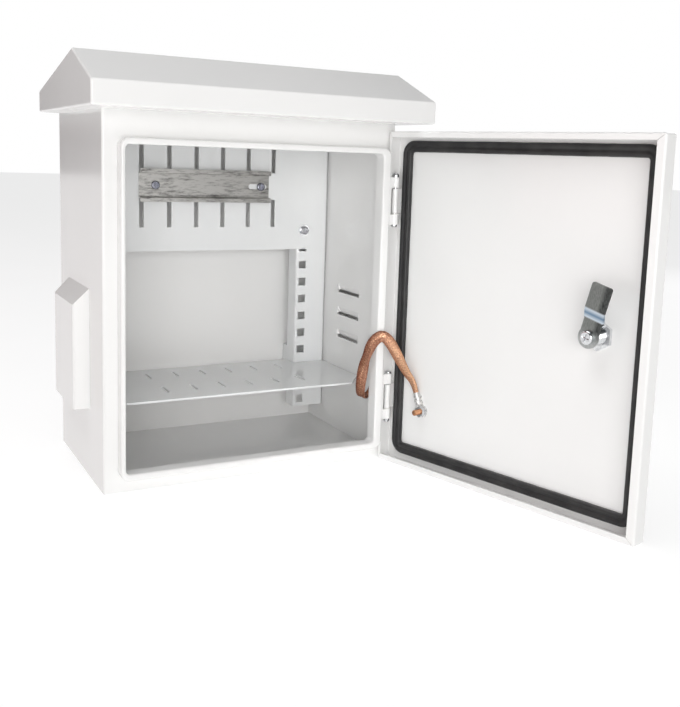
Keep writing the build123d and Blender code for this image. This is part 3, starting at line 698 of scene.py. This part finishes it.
@dataclass
class DoorSeal:
    """Foamed seal round the door's inner face, poured in one run."""

    left: float = -144.6
    right: float = 143.9
    low: float = 9.1
    high: float = 337.7
    radius: float = 14.0
    width: float = 11.3
    height: float = 4.7
    base: float = -111.3
    foot: float = 0.02
    shoulder: float = 2.2
    groove: float = 1.1
    groove_width: float = 2.6
    ripple: float = 0.09
    swell: float = 0.012
    skin_above: float = 2.0
    beats: tuple[Point, ...] = ((1.0, 0.11, 0.0), (0.6, 0.37, 1.3), (0.4, 0.83, 0.4))
    step: float = 1.6
    top_points: int = 40

    def centreline(self) -> tuple[Array, Array]:
        """Middle line of the seal: a rectangle with round corners, evenly stepped.

        Returns:
            The points in X and Z, and the outward directions there.
        """
        bend = self.radius - self.width / 2
        x0, x1 = self.left + self.radius, self.right - self.radius
        z0, z1 = self.low + self.radius, self.high - self.radius
        middles = ((x1, z1), (x0, z1), (x0, z0), (x1, z0))
        arc = quarter_turn(12)
        runs, normals = [], []
        for corner, (x, z) in enumerate(middles):
            angle = arc + corner * np.pi / 2
            facing = np.stack([np.cos(angle), np.sin(angle)], axis=-1)
            runs.append(np.array([x, z]) + bend * facing)
            normals.append(facing)
            after = np.array(middles[(corner + 1) % 4]) + bend * facing[-1]
            count = max(2, int(np.linalg.norm(after - runs[-1][-1]) / self.step))
            share = np.linspace(0.0, 1.0, count, endpoint=False)[1:, None]
            runs.append(runs[-1][-1] * (1 - share) + after * share)
            normals.append(np.repeat(facing[-1:], count - 1, axis=0))
        return np.concatenate(runs), np.concatenate(normals)

    def section(self) -> Array:
        """Outline across the seal: flat below, round shoulders and a shallow dip in the middle.

        The height falls off at each side as a circle's quarter and dips as a cosine in the
        middle.

        Returns:
            Distances across and heights.
        """
        half = self.width / 2
        across = -half * np.cos(np.linspace(0.0, np.pi, self.top_points))
        edge = np.clip((np.abs(across) - (half - self.shoulder)) / self.shoulder, 0.0, 1.0)
        top = self.height - self.shoulder * (1 - np.sqrt(1 - edge**2))
        dip = np.clip(1 - np.abs(across) / self.groove_width, 0.0, 1.0)
        top = top - self.groove * (0.5 - 0.5 * np.cos(np.pi * dip))
        foot = np.array([[half, self.foot], [0.0, self.foot], [-half, self.foot]])
        return np.concatenate([np.stack([across, top], axis=-1), foot])

    def build(self, material: Material) -> None:
        """Sweeps the section along the middle line with a slight unevenness.

        The unevenness is a sum of sines, each with a size, a pace and a start: the width
        swells with it, and the skin sinks.

        Args:
            material: The seal's material.
        """
        line, facing = self.centreline()
        width, height = self.section()[None].transpose(2, 0, 1)
        run = np.arange(len(line)) * 1.0
        uneven = sum(size * np.sin(run * pace + start) for size, pace, start in self.beats)
        uneven = uneven[:, None]
        across = width * (1 + self.swell * uneven)
        rise = height - self.ripple * (1 + uneven / 2) * (height > self.skin_above)
        x = line[:, None, 0] + facing[:, None, 0] * across
        z = line[:, None, 1] + facing[:, None, 1] * across
        y = self.base + rise + 0 * x
        builder = MeshBuilder()
        builder.add_grid(SWING.turned(np.stack([x, y, z], axis=-1)), wrap_rows=True)
        seal = builder.make("foamed_seal", Body.DOOR, "black_rubber", material)
        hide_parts("door_gasket")


@dataclass
class ThreadedPart:
    """Shared form of what has a thread: a turned outline with a ridge winding along it."""

    pitch: float = 1.5
    depth: float = 0.6

    def ridge(self, angle: Array, along: Array, start: float, end: float) -> Array:
        """Depth of the thread below its crest.

        The depth is a triangle wave of the distance along less the turn's share of a pitch,
        and fades out at both ends.

        Args:
            angle: Angles round the axis.
            along: Distances along the axis.
            start: Where the thread begins.
            end: Where it ends.

        Returns:
            The depth at each angle and distance.
        """
        phase = (along / self.pitch - angle / (2 * np.pi)) % 1.0
        wave = np.abs(2 * phase - 1)
        fade = np.clip(np.minimum(along - start, end - along) / (self.pitch / 3), 0.0, 1.0)
        return self.depth * wave * fade


@dataclass
class LockHousing(ThreadedPart):
    """Threaded lock housing with two flats, a round face outside and a bore for the core."""

    pitch: float = 2.0
    depth: float = 1.0
    x: float = -96.5
    z: float = 172.7
    face_front: float = -115.0
    panel_front: float = -112.5
    end: float = -94.8
    radius: float = 9.0
    flat: float = 16.4
    face_radius: float = 13.0
    rim: float = 1.5
    bore: float = 6.08
    mouth: float = 0.5
    chamfer: float = 0.4
    edge: float = 0.3
    seat: float = 0.01
    lead: float = 1.2
    thread_start: float = 1.3
    thread_stop: float = 0.2
    sharp: float = 40.0

    def build(self, material: Material) -> None:
        """Turns the outline about the lock's axis, cuts the thread and the flats.

        The radius at an angle is the outline's radius less the thread, and no more than the
        flat's distance over the sine of the angle.

        Args:
            material: The housing's material.
        """
        angle = around(120)
        quarter = quarter_turn(7)
        rim_radius = self.face_radius - self.rim + self.rim * np.sin(quarter)
        rim_along = self.face_front + self.rim - self.rim * np.cos(quarter)
        start = self.panel_front + self.thread_start
        barrel = np.arange(start, self.end - self.edge, self.pitch / 6)
        outline = [
            (self.bore, self.end - self.chamfer),
            (self.bore, self.face_front + self.mouth),
            (self.bore + self.mouth, self.face_front),
            *zip(rim_radius, rim_along),
            (self.face_radius, self.panel_front - 2 * self.seat),
            (self.radius, self.panel_front - self.seat),
            (self.radius, self.panel_front + self.lead),
            *((self.radius, y) for y in barrel),
            (self.radius, self.end - self.edge),
            (self.radius - self.chamfer, self.end),
            (self.bore + self.chamfer, self.end),
        ]
        radius, along = np.array(outline).T[:, :, None]
        threaded = (np.abs(radius - self.radius) < 0.1) & (along > self.panel_front + self.lead)
        depth = self.ridge(angle[None, :], along, start, self.end - self.thread_stop)
        turned = radius + 0 * angle - depth * threaded
        limit = self.flat / 2 / np.maximum(np.abs(np.sin(angle)), 0.05)
        flats = (along > self.panel_front) & (radius > self.bore + 1)
        turned = np.where(flats, np.minimum(turned, limit[None, :]), turned)
        x = self.x + turned * np.cos(angle)
        z = self.z + turned * np.sin(angle)
        builder = MeshBuilder()
        grid = np.stack([x, along + 0 * x, z], axis=-1)
        builder.add_grid(SWING.turned(grid), wrap_rows=True)
        housing = builder.make("threaded_housing", Body.DOOR, "zinc_casting", material)
        mark_sharp(housing, self.sharp)
        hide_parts("lock_body")


@dataclass
class EarthStuds(ThreadedPart):
    """Threaded copper studs on the door and on the right wall."""

    pitch: float = 1.0
    depth: float = 0.42
    radius: float = 2.98
    tip: float = 0.9
    tip_drop: float = 0.8
    thread_start: float = 0.4
    thread_stop: float = 0.7
    door_foot: Point = (104.7, -111.3, 60.3)
    door_length: float = 13.5
    wall_foot: Point = (148.8, -73.0, 112.0)
    wall_length: float = 8.0

    def turned(self, length: float) -> Array:
        """One stud along its own axis, from the foot to a rounded tip.

        Args:
            length: Length of the stud.

        Returns:
            Grid of two distances across and one along.
        """
        angle = around(48)
        barrel = np.arange(0.0, length - self.tip, self.pitch / 8)
        along = np.concatenate([barrel, length - self.tip * np.cos(quarter_turn(6))])[:, None]
        tip = np.clip((along - (length - self.tip)) / self.tip, 0.0, 1.0)
        radius = self.radius - self.tip_drop * (1 - np.sqrt(1 - 0.98 * tip**2))
        stop = length - self.thread_stop
        ring = radius - self.ridge(angle[None, :], along, self.thread_start, stop)
        return np.stack([ring * np.cos(angle), ring * np.sin(angle), along + 0 * ring], axis=-1)

    def build(self, material: Material) -> None:
        """Sets both studs in place of the plain ones.

        Args:
            material: Material of the studs.
        """
        points = np.array(self.door_foot) + self.turned(self.door_length)[..., [0, 2, 1]]
        builder = MeshBuilder()
        builder.add_grid(SWING.turned(points))
        door = builder.make("door_stud_thread", Body.DOOR, "copper", material)
        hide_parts("door_earth_stud")
        leftward = self.turned(self.wall_length)[..., [2, 0, 1]] * (-1.0, 1.0, 1.0)
        builder = MeshBuilder()
        builder.add_grid(np.array(self.wall_foot) + leftward)
        wall = builder.make("wall_stud_thread", Body.CABINET, "copper", material)
        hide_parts("wall_earth_stud")


@dataclass(frozen=True)
class StrapPath:
    """Stations along the strap: points of the middle line, directions and the run so far."""

    line: Array
    across: Array
    out: Array
    run: Array


@dataclass
class EarthStrap:
    """Flat woven strap that hangs in a bow between the door's lug and the wall's."""

    width: float = 11.6
    thickness: float = 2.0
    crimp_width: float = 5.8
    crimp_thickness: float = 3.6
    door_gather: float = 52.0
    wall_gather: float = 22.0
    carriers: int = 12
    turn_length: float = 34.0
    strand_thickness: float = 0.42
    strand_sides: int = 8
    strand_fill: float = 0.47
    strand_play: float = 0.98
    plateau: float = 1.4
    squareness: float = 0.6
    core_sides: int = 20
    step: float = 0.62
    easing: int = 15
    mark_pace: float = 0.1
    bow: tuple[int, int] = (7, 3)
    route: tuple[Point, ...] = (
        (162.65, -134.31, 78.97), (161.59, -130.52, 89.24), (155.5, -124.5, 99.0),
        (148.0, -118.5, 116.0), (140.5, -113.6, 131.5), (132.0, -111.0, 138.0),
        (124.2, -104.5, 128.5), (121.0, -97.0, 108.0), (120.6, -92.0, 89.0), (121.6, -87.8, 75.0),
        (126.0, -82.0, 65.5), (135.0, -76.5, 64.5), (143.8, -73.2, 66.0), (145.8, -73.0, 78.0),
        (145.4, -73.0, 92.0),
    )
    facings: tuple[tuple[float, Point], ...] = (
        (0.0, (-0.964, -0.267, 0.0)), (0.08, (-0.964, -0.267, 0.0)), (0.3, (-0.6, -0.78, 0.15)),
        (0.42, (-0.55, -0.8, 0.2)), (0.51, (-0.95, -0.2, 0.25)), (0.6, (-0.68, -0.72, 0.1)),
        (0.72, (-0.9, -0.43, 0.0)), (0.78, (-0.88, -0.47, 0.0)), (0.81, (-0.2, -0.1, -1.0)),
        (0.87, (0.2, 0.1, -1.0)), (0.92, (1.0, 0.0, 0.0)), (1.0, (1.0, 0.0, 0.0)),
    )

    def smooth_line(self) -> Array:
        """The route as one smooth line, evenly stepped.

        The points are the control points of a smooth curve, whose line Blender gives.

        Returns:
            Points along the line in millimetres.
        """
        curve = bpy.data.curves.new("strap_route", "CURVE")
        curve.dimensions = "3D"
        spline = curve.splines.new("NURBS")
        spline.points.add(len(self.route) - 1)
        for point, place in zip(spline.points, self.route):
            point.co = (*(c * MM for c in place), 1.0)
        spline.order_u = 3
        spline.use_endpoint_u = True
        spline.resolution_u = 24
        holder = bpy.data.objects.new("strap_route", curve)
        bpy.context.scene.collection.objects.link(holder)
        bpy.context.view_layer.update()
        line = bpy.data.meshes.new_from_object(holder)
        points = np.zeros(len(line.vertices) * 3)
        line.vertices.foreach_get("co", points)
        points = points.reshape(-1, 3) / MM
        bpy.data.objects.remove(holder)
        bpy.data.curves.remove(curve)
        bpy.data.meshes.remove(line)
        run = run_along(points)
        even = np.linspace(0.0, run[-1], int(run[-1] / self.step) + 1)
        return np.stack([np.interp(even, run, points[:, axis]) for axis in range(3)], axis=-1)

    def path(self) -> StrapPath:
        """The middle line with directions across and out of the strap's flat side.

        The direction out of the flat side is read between the stations, smoothed, and made
        square to the line.

        Returns:
            The line, its directions of length one and the run along it.
        """
        line = self.smooth_line()
        tangent = unit(np.gradient(line, axis=0))
        share = np.linspace(0.0, 1.0, len(line))
        spots, wanted = (np.array(values) for values in zip(*self.facings))
        window = np.hanning(2 * self.easing + 1)
        window /= window.sum()
        out = np.stack([np.interp(share, spots, axis) for axis in wanted.T], axis=-1)
        padded = np.pad(out, ((self.easing, self.easing), (0, 0)), mode="edge")
        out = np.stack([np.convolve(axis, window, mode="valid") for axis in padded.T], axis=-1)
        out = unit(out - tangent * np.sum(out * tangent, axis=-1, keepdims=True))
        return StrapPath(line, np.cross(out, tangent), out, run_along(line))

    def half_sizes(self, run: Array) -> tuple[Array, Array]:
        """Half width and half thickness, gathered into the crimps at both ends.

        Args:
            run: Distances along the strap.

        Returns:
            Half widths and half thicknesses.
        """
        ends = np.minimum(run / self.door_gather, (run[-1] - run) / self.wall_gather)
        share = np.sin(np.clip(ends, 0.0, 1.0) * np.pi / 2)
        width = self.crimp_width + (self.width - self.crimp_width) * share
        thickness = self.crimp_thickness + (self.thickness - self.crimp_thickness) * share
        return width / 2, thickness / 2

    def rings(self, path: StrapPath, angle: Array, rise: Array | float) -> Array:
        """Points round the flattened section at each station, raised off it.

        The section inside the strands is a circle with flattened sides.

        Args:
            path: Stations along the strap.
            angle: Rows of angles round the section, one row for each station or for all.
            rise: Height off the section.

        Returns:
            Grid of points.
        """
        half_width, half_thickness = self.half_sizes(path.run)
        x, z = squared_circle(angle, self.squareness)
        wide = (half_width - self.strand_thickness + rise)[:, None] * x
        thick = (half_thickness - self.strand_thickness + rise)[:, None] * z
        aside = path.across[:, None] * wide[..., None]
        return path.line[:, None] + aside + path.out[:, None] * thick[..., None]

    def strand(self, path: StrapPath, number: int, way: int) -> Array:
        """One strand, winding round the flat section and passing over two and under two.

        A strand's place round the section is its number's share of a turn plus the run over
        the length of a turn, to one side or the other. Its height is a cosine of the number
        of strands that it has met, opposite for the two ways.

        Args:
            path: Stations along the strap.
            number: Number of the strand.
            way: 1 or -1, the way that it winds.

        Returns:
            Grid of points.
        """
        half_width, half_thickness = self.half_sizes(path.run)
        turns = path.run / self.turn_length
        spot = 2 * np.pi * (number / self.carriers + way * turns)[:, None]
        met = np.pi * (number + way * self.carriers * turns) - np.pi / 4
        wave = np.clip(self.plateau * np.cos(met), -1.0, 1.0)
        lift = way * 0.5 * self.strand_thickness * wave
        middle = self.rings(path, spot, lift)[:, 0]
        forward = unit(np.gradient(middle, axis=0))
        raised = self.rings(path, spot, lift + 0.5)[:, 0] - middle
        up = unit(raised - forward * np.sum(raised * forward, axis=-1, keepdims=True))
        side = np.cross(forward, up)
        pace = 2 * (2 * half_width + 2 * half_thickness) / self.carriers
        slope = np.cos(np.arctan2(pace * self.carriers, self.turn_length))
        reach = self.strand_fill * pace * slope * self.strand_play
        angle = around(self.strand_sides)
        flat = side[:, None] * (reach[:, None] * np.cos(angle))[..., None]
        high = up[:, None] * (self.strand_thickness / 2 * np.sin(angle))[None, :, None]
        return middle[:, None] + flat + high

    def build(self, braid: Material) -> None:
        """Args:
            braid: The strands' material.
        """
        path = self.path()
        line, run = path.line, path.run
        builder = MeshBuilder()
        builder.add_grid(self.rings(path, around(self.core_sides)[None], 0.0))
        sides = self.strand_sides
        around_strand = np.repeat(np.cos(around(sides))[None, :], len(line), axis=0)
        along_strand = np.repeat(run[:, None], sides, axis=1) * self.mark_pace
        marks = np.stack([around_strand, along_strand], axis=-1)
        for number in range(self.carriers):
            for way in (1, -1):
                builder.add_grid(self.strand(path, number, way), marks=marks)
        strap = builder.make("woven_earth_strap", None, "copper_braid", braid)
        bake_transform(strap)
        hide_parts("earth_strap")


@dataclass
class WeldBeads:
    """Short painted weld beads that hold the hinge leaves."""

    heights: Span = (69.4, 275.8)
    half_span: float = 12.55
    radius: float = 0.9
    ripple: float = 0.12
    ripple_pace: float = 2.3
    oblique: Point = (0.31, 0.87, 0.37)
    frame_lines: tuple[Span, ...] = ((139.4, -103.1), (139.0, -104.9))
    knuckle_run: Span = (2.0, 11.0)
    barrel_inset: float = 3.0
    door_run: Span = (145.0, 150.0)
    door_line: float = -110.9

    def bead(self, start: Array, end: Array) -> Array:
        """One bead: a rod whose radius ripples along it and rounds off at its ends.

        Args:
            start: First end.
            end: Second end.

        Returns:
            Grid of points.
        """
        length = float(np.linalg.norm(end - start))
        run = np.linspace(0.0, length, max(24, int(length * 5)))
        ends = np.clip(np.minimum(run, length - run) / (self.radius * 1.4), 0.0, 1.0)
        radius = self.radius * np.sqrt(np.clip(1 - (1 - ends) ** 2, 0.02, 1.0))
        radius = radius + self.ripple * np.abs(np.sin(run * self.ripple_pace)) * ends
        axis = (end - start) / length
        side = unit(np.cross(axis, self.oblique))
        up = np.cross(axis, side)
        angle = around(12)
        wide = side[None, None] * (radius[:, None] * np.cos(angle))[..., None]
        high = up[None, None] * (radius[:, None] * np.sin(angle))[..., None]
        return start + axis * run[:, None, None] + wide + high

    def build(self, paint: Material) -> None:
        """Lays beads along both hinge leaves of the frame and of the door.

        Args:
            paint: The paint over them.
        """
        frame, door = MeshBuilder(), MeshBuilder()
        near, far = self.knuckle_run
        for height in self.heights:
            low, high = height - self.half_span, height + self.half_span
            barrel = (low + self.barrel_inset, high - self.barrel_inset)
            for run in ((low - far, low - near), barrel, (high + near, high + far)):
                for x, y in self.frame_lines:
                    start, end = np.array([(x, y, z) for z in run])
                    frame.add_grid(self.bead(start, end))
            for z in (low, high):
                ends = np.array([(x, self.door_line, z) for x in self.door_run])
                start, end = SWING.turned(ends)
                door.add_grid(self.bead(start, end))
        frame.make("frame_leaf_welds", Body.CABINET, "white_paint", paint)
        door.make("door_leaf_welds", Body.DOOR, "white_paint", paint)


@dataclass(frozen=True)
class Lamp:
    """One soft rectangular light."""

    name: str
    place: Point
    target: Point
    size: Span
    power: float
    colour: Colour = WHITE
    spread: float = 180.0

    def build(self) -> None:
        """Puts the light up, turned to its target."""
        light = bpy.data.lights.new(self.name, "AREA")
        light.shape = "RECTANGLE"
        light.size, light.size_y = self.size
        light.energy = self.power
        light.color = self.colour
        light.spread = math.radians(self.spread)
        lamp = bpy.data.objects.new(self.name, light)
        bpy.context.scene.collection.objects.link(lamp)
        lamp.location = self.place
        aim = Vector(self.target) - Vector(self.place)
        lamp.rotation_euler = aim.to_track_quat("-Z", "Y").to_euler()


@dataclass
class Studio:
    """Camera, floor and lights."""

    eye: Point = (-348.72, -933.26, 316.22)
    yaw: float = 29.136
    pitch: float = -8.393
    roll: float = 2.027
    focal: float = 932.965
    middle: Span = (363.94, 298.08)
    frame: tuple[int, int] = (680, 707)
    sensor: float = 36.0
    clip: Span = (0.05, 20.0)
    ambient: tuple[Colour, Colour] = ((0.06, 0.065, 0.07), (0.28, 0.28, 0.28))
    ambient_stops: Span = (0.44, 0.56)
    ambient_scale: float = 1.3
    paper: tuple[float, float, float, float] = (-12.0, -12.0, 12.0, 12.0)
    paper_drop: float = 0.0004
    paper_tones: tuple[Colour, Colour] = ((0.29, 0.29, 0.29), (0.31, 0.31, 0.31))
    paper_glow: float = 0.78
    lamps: tuple[Lamp, ...] = (
        Lamp(
            "key_softbox", place=(-0.42, -1.5, 0.34), target=(0.05, -0.15, 0.18),
            size=(1.0, 0.8), power=10.3, colour=(1.0, 0.99, 0.975),
        ),
        Lamp("overhead", (-0.6, -0.30, 2.2), (0.0, -0.1, 0.1), (1.4, 1.4), 24.0),
        Lamp(
            "inside_fill", place=(-0.30, -0.80, 0.22), target=(0.15, 0.02, 0.11),
            size=(0.15, 0.15), power=0.035, spread=30.0,
        ),
        Lamp(
            "left_fill", place=(-2.4, 1.3, 1.0), target=(0.0, 0.0, 0.2),
            size=(2.6, 2.0), power=5.0, colour=(1.0, 0.35, 0.30),
        ),
        Lamp("right_fill", (2.0, 0.6, 0.9), (0.1, 0.0, 0.2), (1.2, 1.2), 6.0),
    )

    def camera(self) -> None:
        """Sets the camera up as the portrait was taken.

        Forward comes from yaw and pitch, right is level, and both turn about forward by the
        roll. The lens is the focal length in pixels over the frame's long side.
        """
        yaw, pitch, roll = (math.radians(a) for a in (self.yaw, self.pitch, self.roll))
        flat = math.cos(pitch)
        forward = Vector((math.sin(yaw) * flat, math.cos(yaw) * flat, math.sin(pitch)))
        level = Vector((math.cos(yaw), -math.sin(yaw), 0.0))
        upward = level.cross(forward)
        right = level * math.cos(roll) + upward * math.sin(roll)
        up = upward * math.cos(roll) - level * math.sin(roll)
        longest = max(self.frame)
        data = bpy.data.cameras.new("portrait")
        data.sensor_width = self.sensor
        data.lens = self.focal / longest * self.sensor
        data.shift_x = (self.frame[0] / 2 - self.middle[0]) / longest
        data.shift_y = (self.middle[1] - self.frame[1] / 2) / longest
        data.clip_start, data.clip_end = self.clip
        camera = bpy.data.objects.new("portrait", data)
        bpy.context.scene.collection.objects.link(camera)
        turn = Matrix((right, up, -forward)).transposed().to_4x4()
        camera.matrix_world = Matrix.Translation(Vector(self.eye) * MM) @ turn
        bpy.context.scene.camera = camera

    def floor(self) -> None:
        """Lays a plain pale floor under the cabinet."""
        mesh = bpy.data.meshes.new("floor")
        left, front, right, back = self.paper
        outline = ((left, front), (right, front), (right, back), (left, back))
        mesh.from_pydata([(x, y, -self.paper_drop) for x, y in outline], [], [(0, 1, 2, 3)])
        paper = bpy.data.materials.new("floor_paper")
        graph = ShaderGraph(paper)
        graph.shade(
            Base_Color=graph.ramp(graph.noise(3.0), tuple(zip((0.3, 0.7), self.paper_tones))),
            Roughness=0.9,
            Specular_IOR_Level=0.1,
            Emission_Color=WHITE,
            Emission_Strength=self.paper_glow,
        )
        mesh.materials.append(paper)
        floor = bpy.data.objects.new("floor", mesh)
        bpy.context.scene.collection.objects.link(floor)

    def surroundings(self) -> None:
        """Hangs the room: soft light and dark fields round about, white behind the cabinet."""
        world = bpy.data.worlds.new("studio")
        graph = ShaderGraph(world, "Background")
        around_us = graph.coordinates.outputs["Generated"]
        fields = graph.noise(self.ambient_scale, 1.0, place=around_us)
        tones = graph.ramp(fields, tuple(zip(self.ambient_stops, self.ambient)))
        seen = graph.add("LightPath").outputs["Is Camera Ray"]
        graph.shade(Color=graph.mix(seen, tones, WHITE))
        bpy.context.scene.world = world

    def build(self) -> None:
        """Sets up camera, floor, lights, surroundings and plain colour handling."""
        self.camera()
        self.floor()
        for lamp in self.lamps:
            lamp.build()
        self.surroundings()
        bpy.context.scene.view_settings.view_transform = "Standard"
        LOG.info("camera, floor and %d lights", len(self.lamps))


FINISHES = (
    PowderCoat("white_powder_coat", (0.90, 0.897, 0.89), (0.885, 0.882, 0.875), 0.12),
    PowderCoat("interior_powder_coat", (0.86, 0.87, 0.87), (0.83, 0.84, 0.845), 0.10),
    BareMetal(
        "galvanised_rail", light=(0.56, 0.55, 0.53), dark=(0.12, 0.115, 0.11),
        roughness=(0.22, 0.42), pattern=Pattern.STREAKS, scale=105.0,
        stretch=(0.45, 1.5, 2.2), stops=(0.36, 0.54),
    ),
    BareMetal("satin_zinc", (0.56, 0.56, 0.58), (0.26, 0.26, 0.28), (0.22, 0.38)),
    BareMetal("dull_zinc", (0.36, 0.37, 0.42), (0.16, 0.16, 0.20), (0.18, 0.32)),
    BareMetal("bright_zinc", (0.82, 0.83, 0.84), (0.55, 0.56, 0.58), (0.08, 0.22)),
    # The cam's finish holds painted shade along one edge, a painted highlight round the hub and a
    # painted bluish reflection over the bend.
    CamSteel(
        "passivated_cam_and_painted_sheen", light=(0.31, 0.33, 0.315), dark=(0.195, 0.21, 0.205),
        hub_highlight=(0.66, 0.68, 0.69), ridge=(0.66, 0.73, 0.80), bend_reflection_core=(0.16, 0.25, 0.36),
        pivot=(205.42, -338.68, 172.7), lengthwise=(0.0692, -0.2494, 0.9659),
        crosswise=(0.2581, -0.9308, -0.2588), bend=(17.0, 24.6), reach=48.5,
    ),
    BareMetal(
        "tinned_crimp", light=(0.92, 0.91, 0.89), dark=(0.40, 0.39, 0.40),
        roughness=(0.34, 0.55), scale=620.0, stops=(0.36, 0.58),
    ),
    BareMetal("copper_plate", (0.72, 0.38, 0.21), (0.36, 0.16, 0.08), (0.22, 0.40)),
    Braid(
        "copper_braid", light=(0.46, 0.21, 0.13), dark=(0.18, 0.06, 0.04),
        bright=(0.76, 0.42, 0.28), fresh=(1.0, 0.62, 0.38),
    ),
    Foam("black_foam", (0.035, 0.034, 0.034), (0.018, 0.018, 0.019)),
    Moulding("natural_nylon", (0.78, 0.78, 0.74), (0.70, 0.70, 0.67)),
)

WARDROBE = {
    "white_powder_coat": (
        "cabinet_shell", "rain_hood", "right_vent_hood", "left_vent_hood", "door_panel",
        "lower_hinge_frame_leaf", "upper_hinge_frame_leaf", "lower_hinge_door_leaf",
        "upper_hinge_door_leaf",
    ),
    "interior_powder_coat": (
        "right_upright", "left_upright", "upright_brackets", "mounting_panel", "shelf",
    ),
    "bright_zinc": (
        "hood_screws", "hood_nuts", "rack_washers", "cage_nuts", "wall_earth_nut",
        "door_earth_nut", "lower_hinge_pin", "upper_hinge_pin", "lock_nut", "lock_core",
        "cam_screw", "lock_body",
    ),
    "galvanised_rail": ("din_rail",),
    "dull_zinc": ("din_rail_screws", "din_rail_nuts"),
    "satin_zinc": ("rack_screws",),
    "passivated_cam_and_painted_sheen": ("lock_cam",),
    "tinned_crimp": ("door_strap_lug", "wall_strap_lug"),
    "natural_nylon": ("hinge_washers",),
    "copper_plate": ("door_earth_stud", "wall_earth_stud"),
    "copper_braid": ("earth_strap",),
    "black_foam": ("door_gasket",),
}


@dataclass
class Cabinet:
    """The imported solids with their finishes, and the pieces that are added to them."""

    nodes: dict[str, Piece]
    finishes: dict[str, Material] = field(default_factory=dict)

    def mix_finishes(self) -> None:
        """Makes every finish of the cabinet."""
        self.finishes = {finish.name: finish.make() for finish in FINISHES}
        LOG.info("%d finishes", len(self.finishes))

    def dress(self) -> None:
        """Gives every solid the finish that the wardrobe lists it under."""
        for finish, names in WARDROBE.items():
            for name in names:
                mesh = self.nodes[name].data
                mesh.materials.clear()
                mesh.materials.append(self.finishes[finish])

    def build(self) -> None:
        """Dresses the solids and adds the modelled pieces."""
        self.dress()
        DoorSeal().build(self.finishes["black_foam"])
        LockHousing().build(self.finishes["bright_zinc"])
        EarthStuds().build(self.finishes["copper_plate"])
        WeldBeads().build(self.finishes["white_powder_coat"])


def main() -> None:
    """Builds the whole scene in order."""
    logging.basicConfig(level=logging.INFO, format="%(name)s: %(message)s")
    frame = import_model()
    Studio().build()
    cabinet = Cabinet(frame["nodes"])
    cabinet.mix_finishes()
    EarthStrap().build(cabinet.finishes["copper_braid"])
    cabinet.build()


if __name__ == "__main__":
    main()
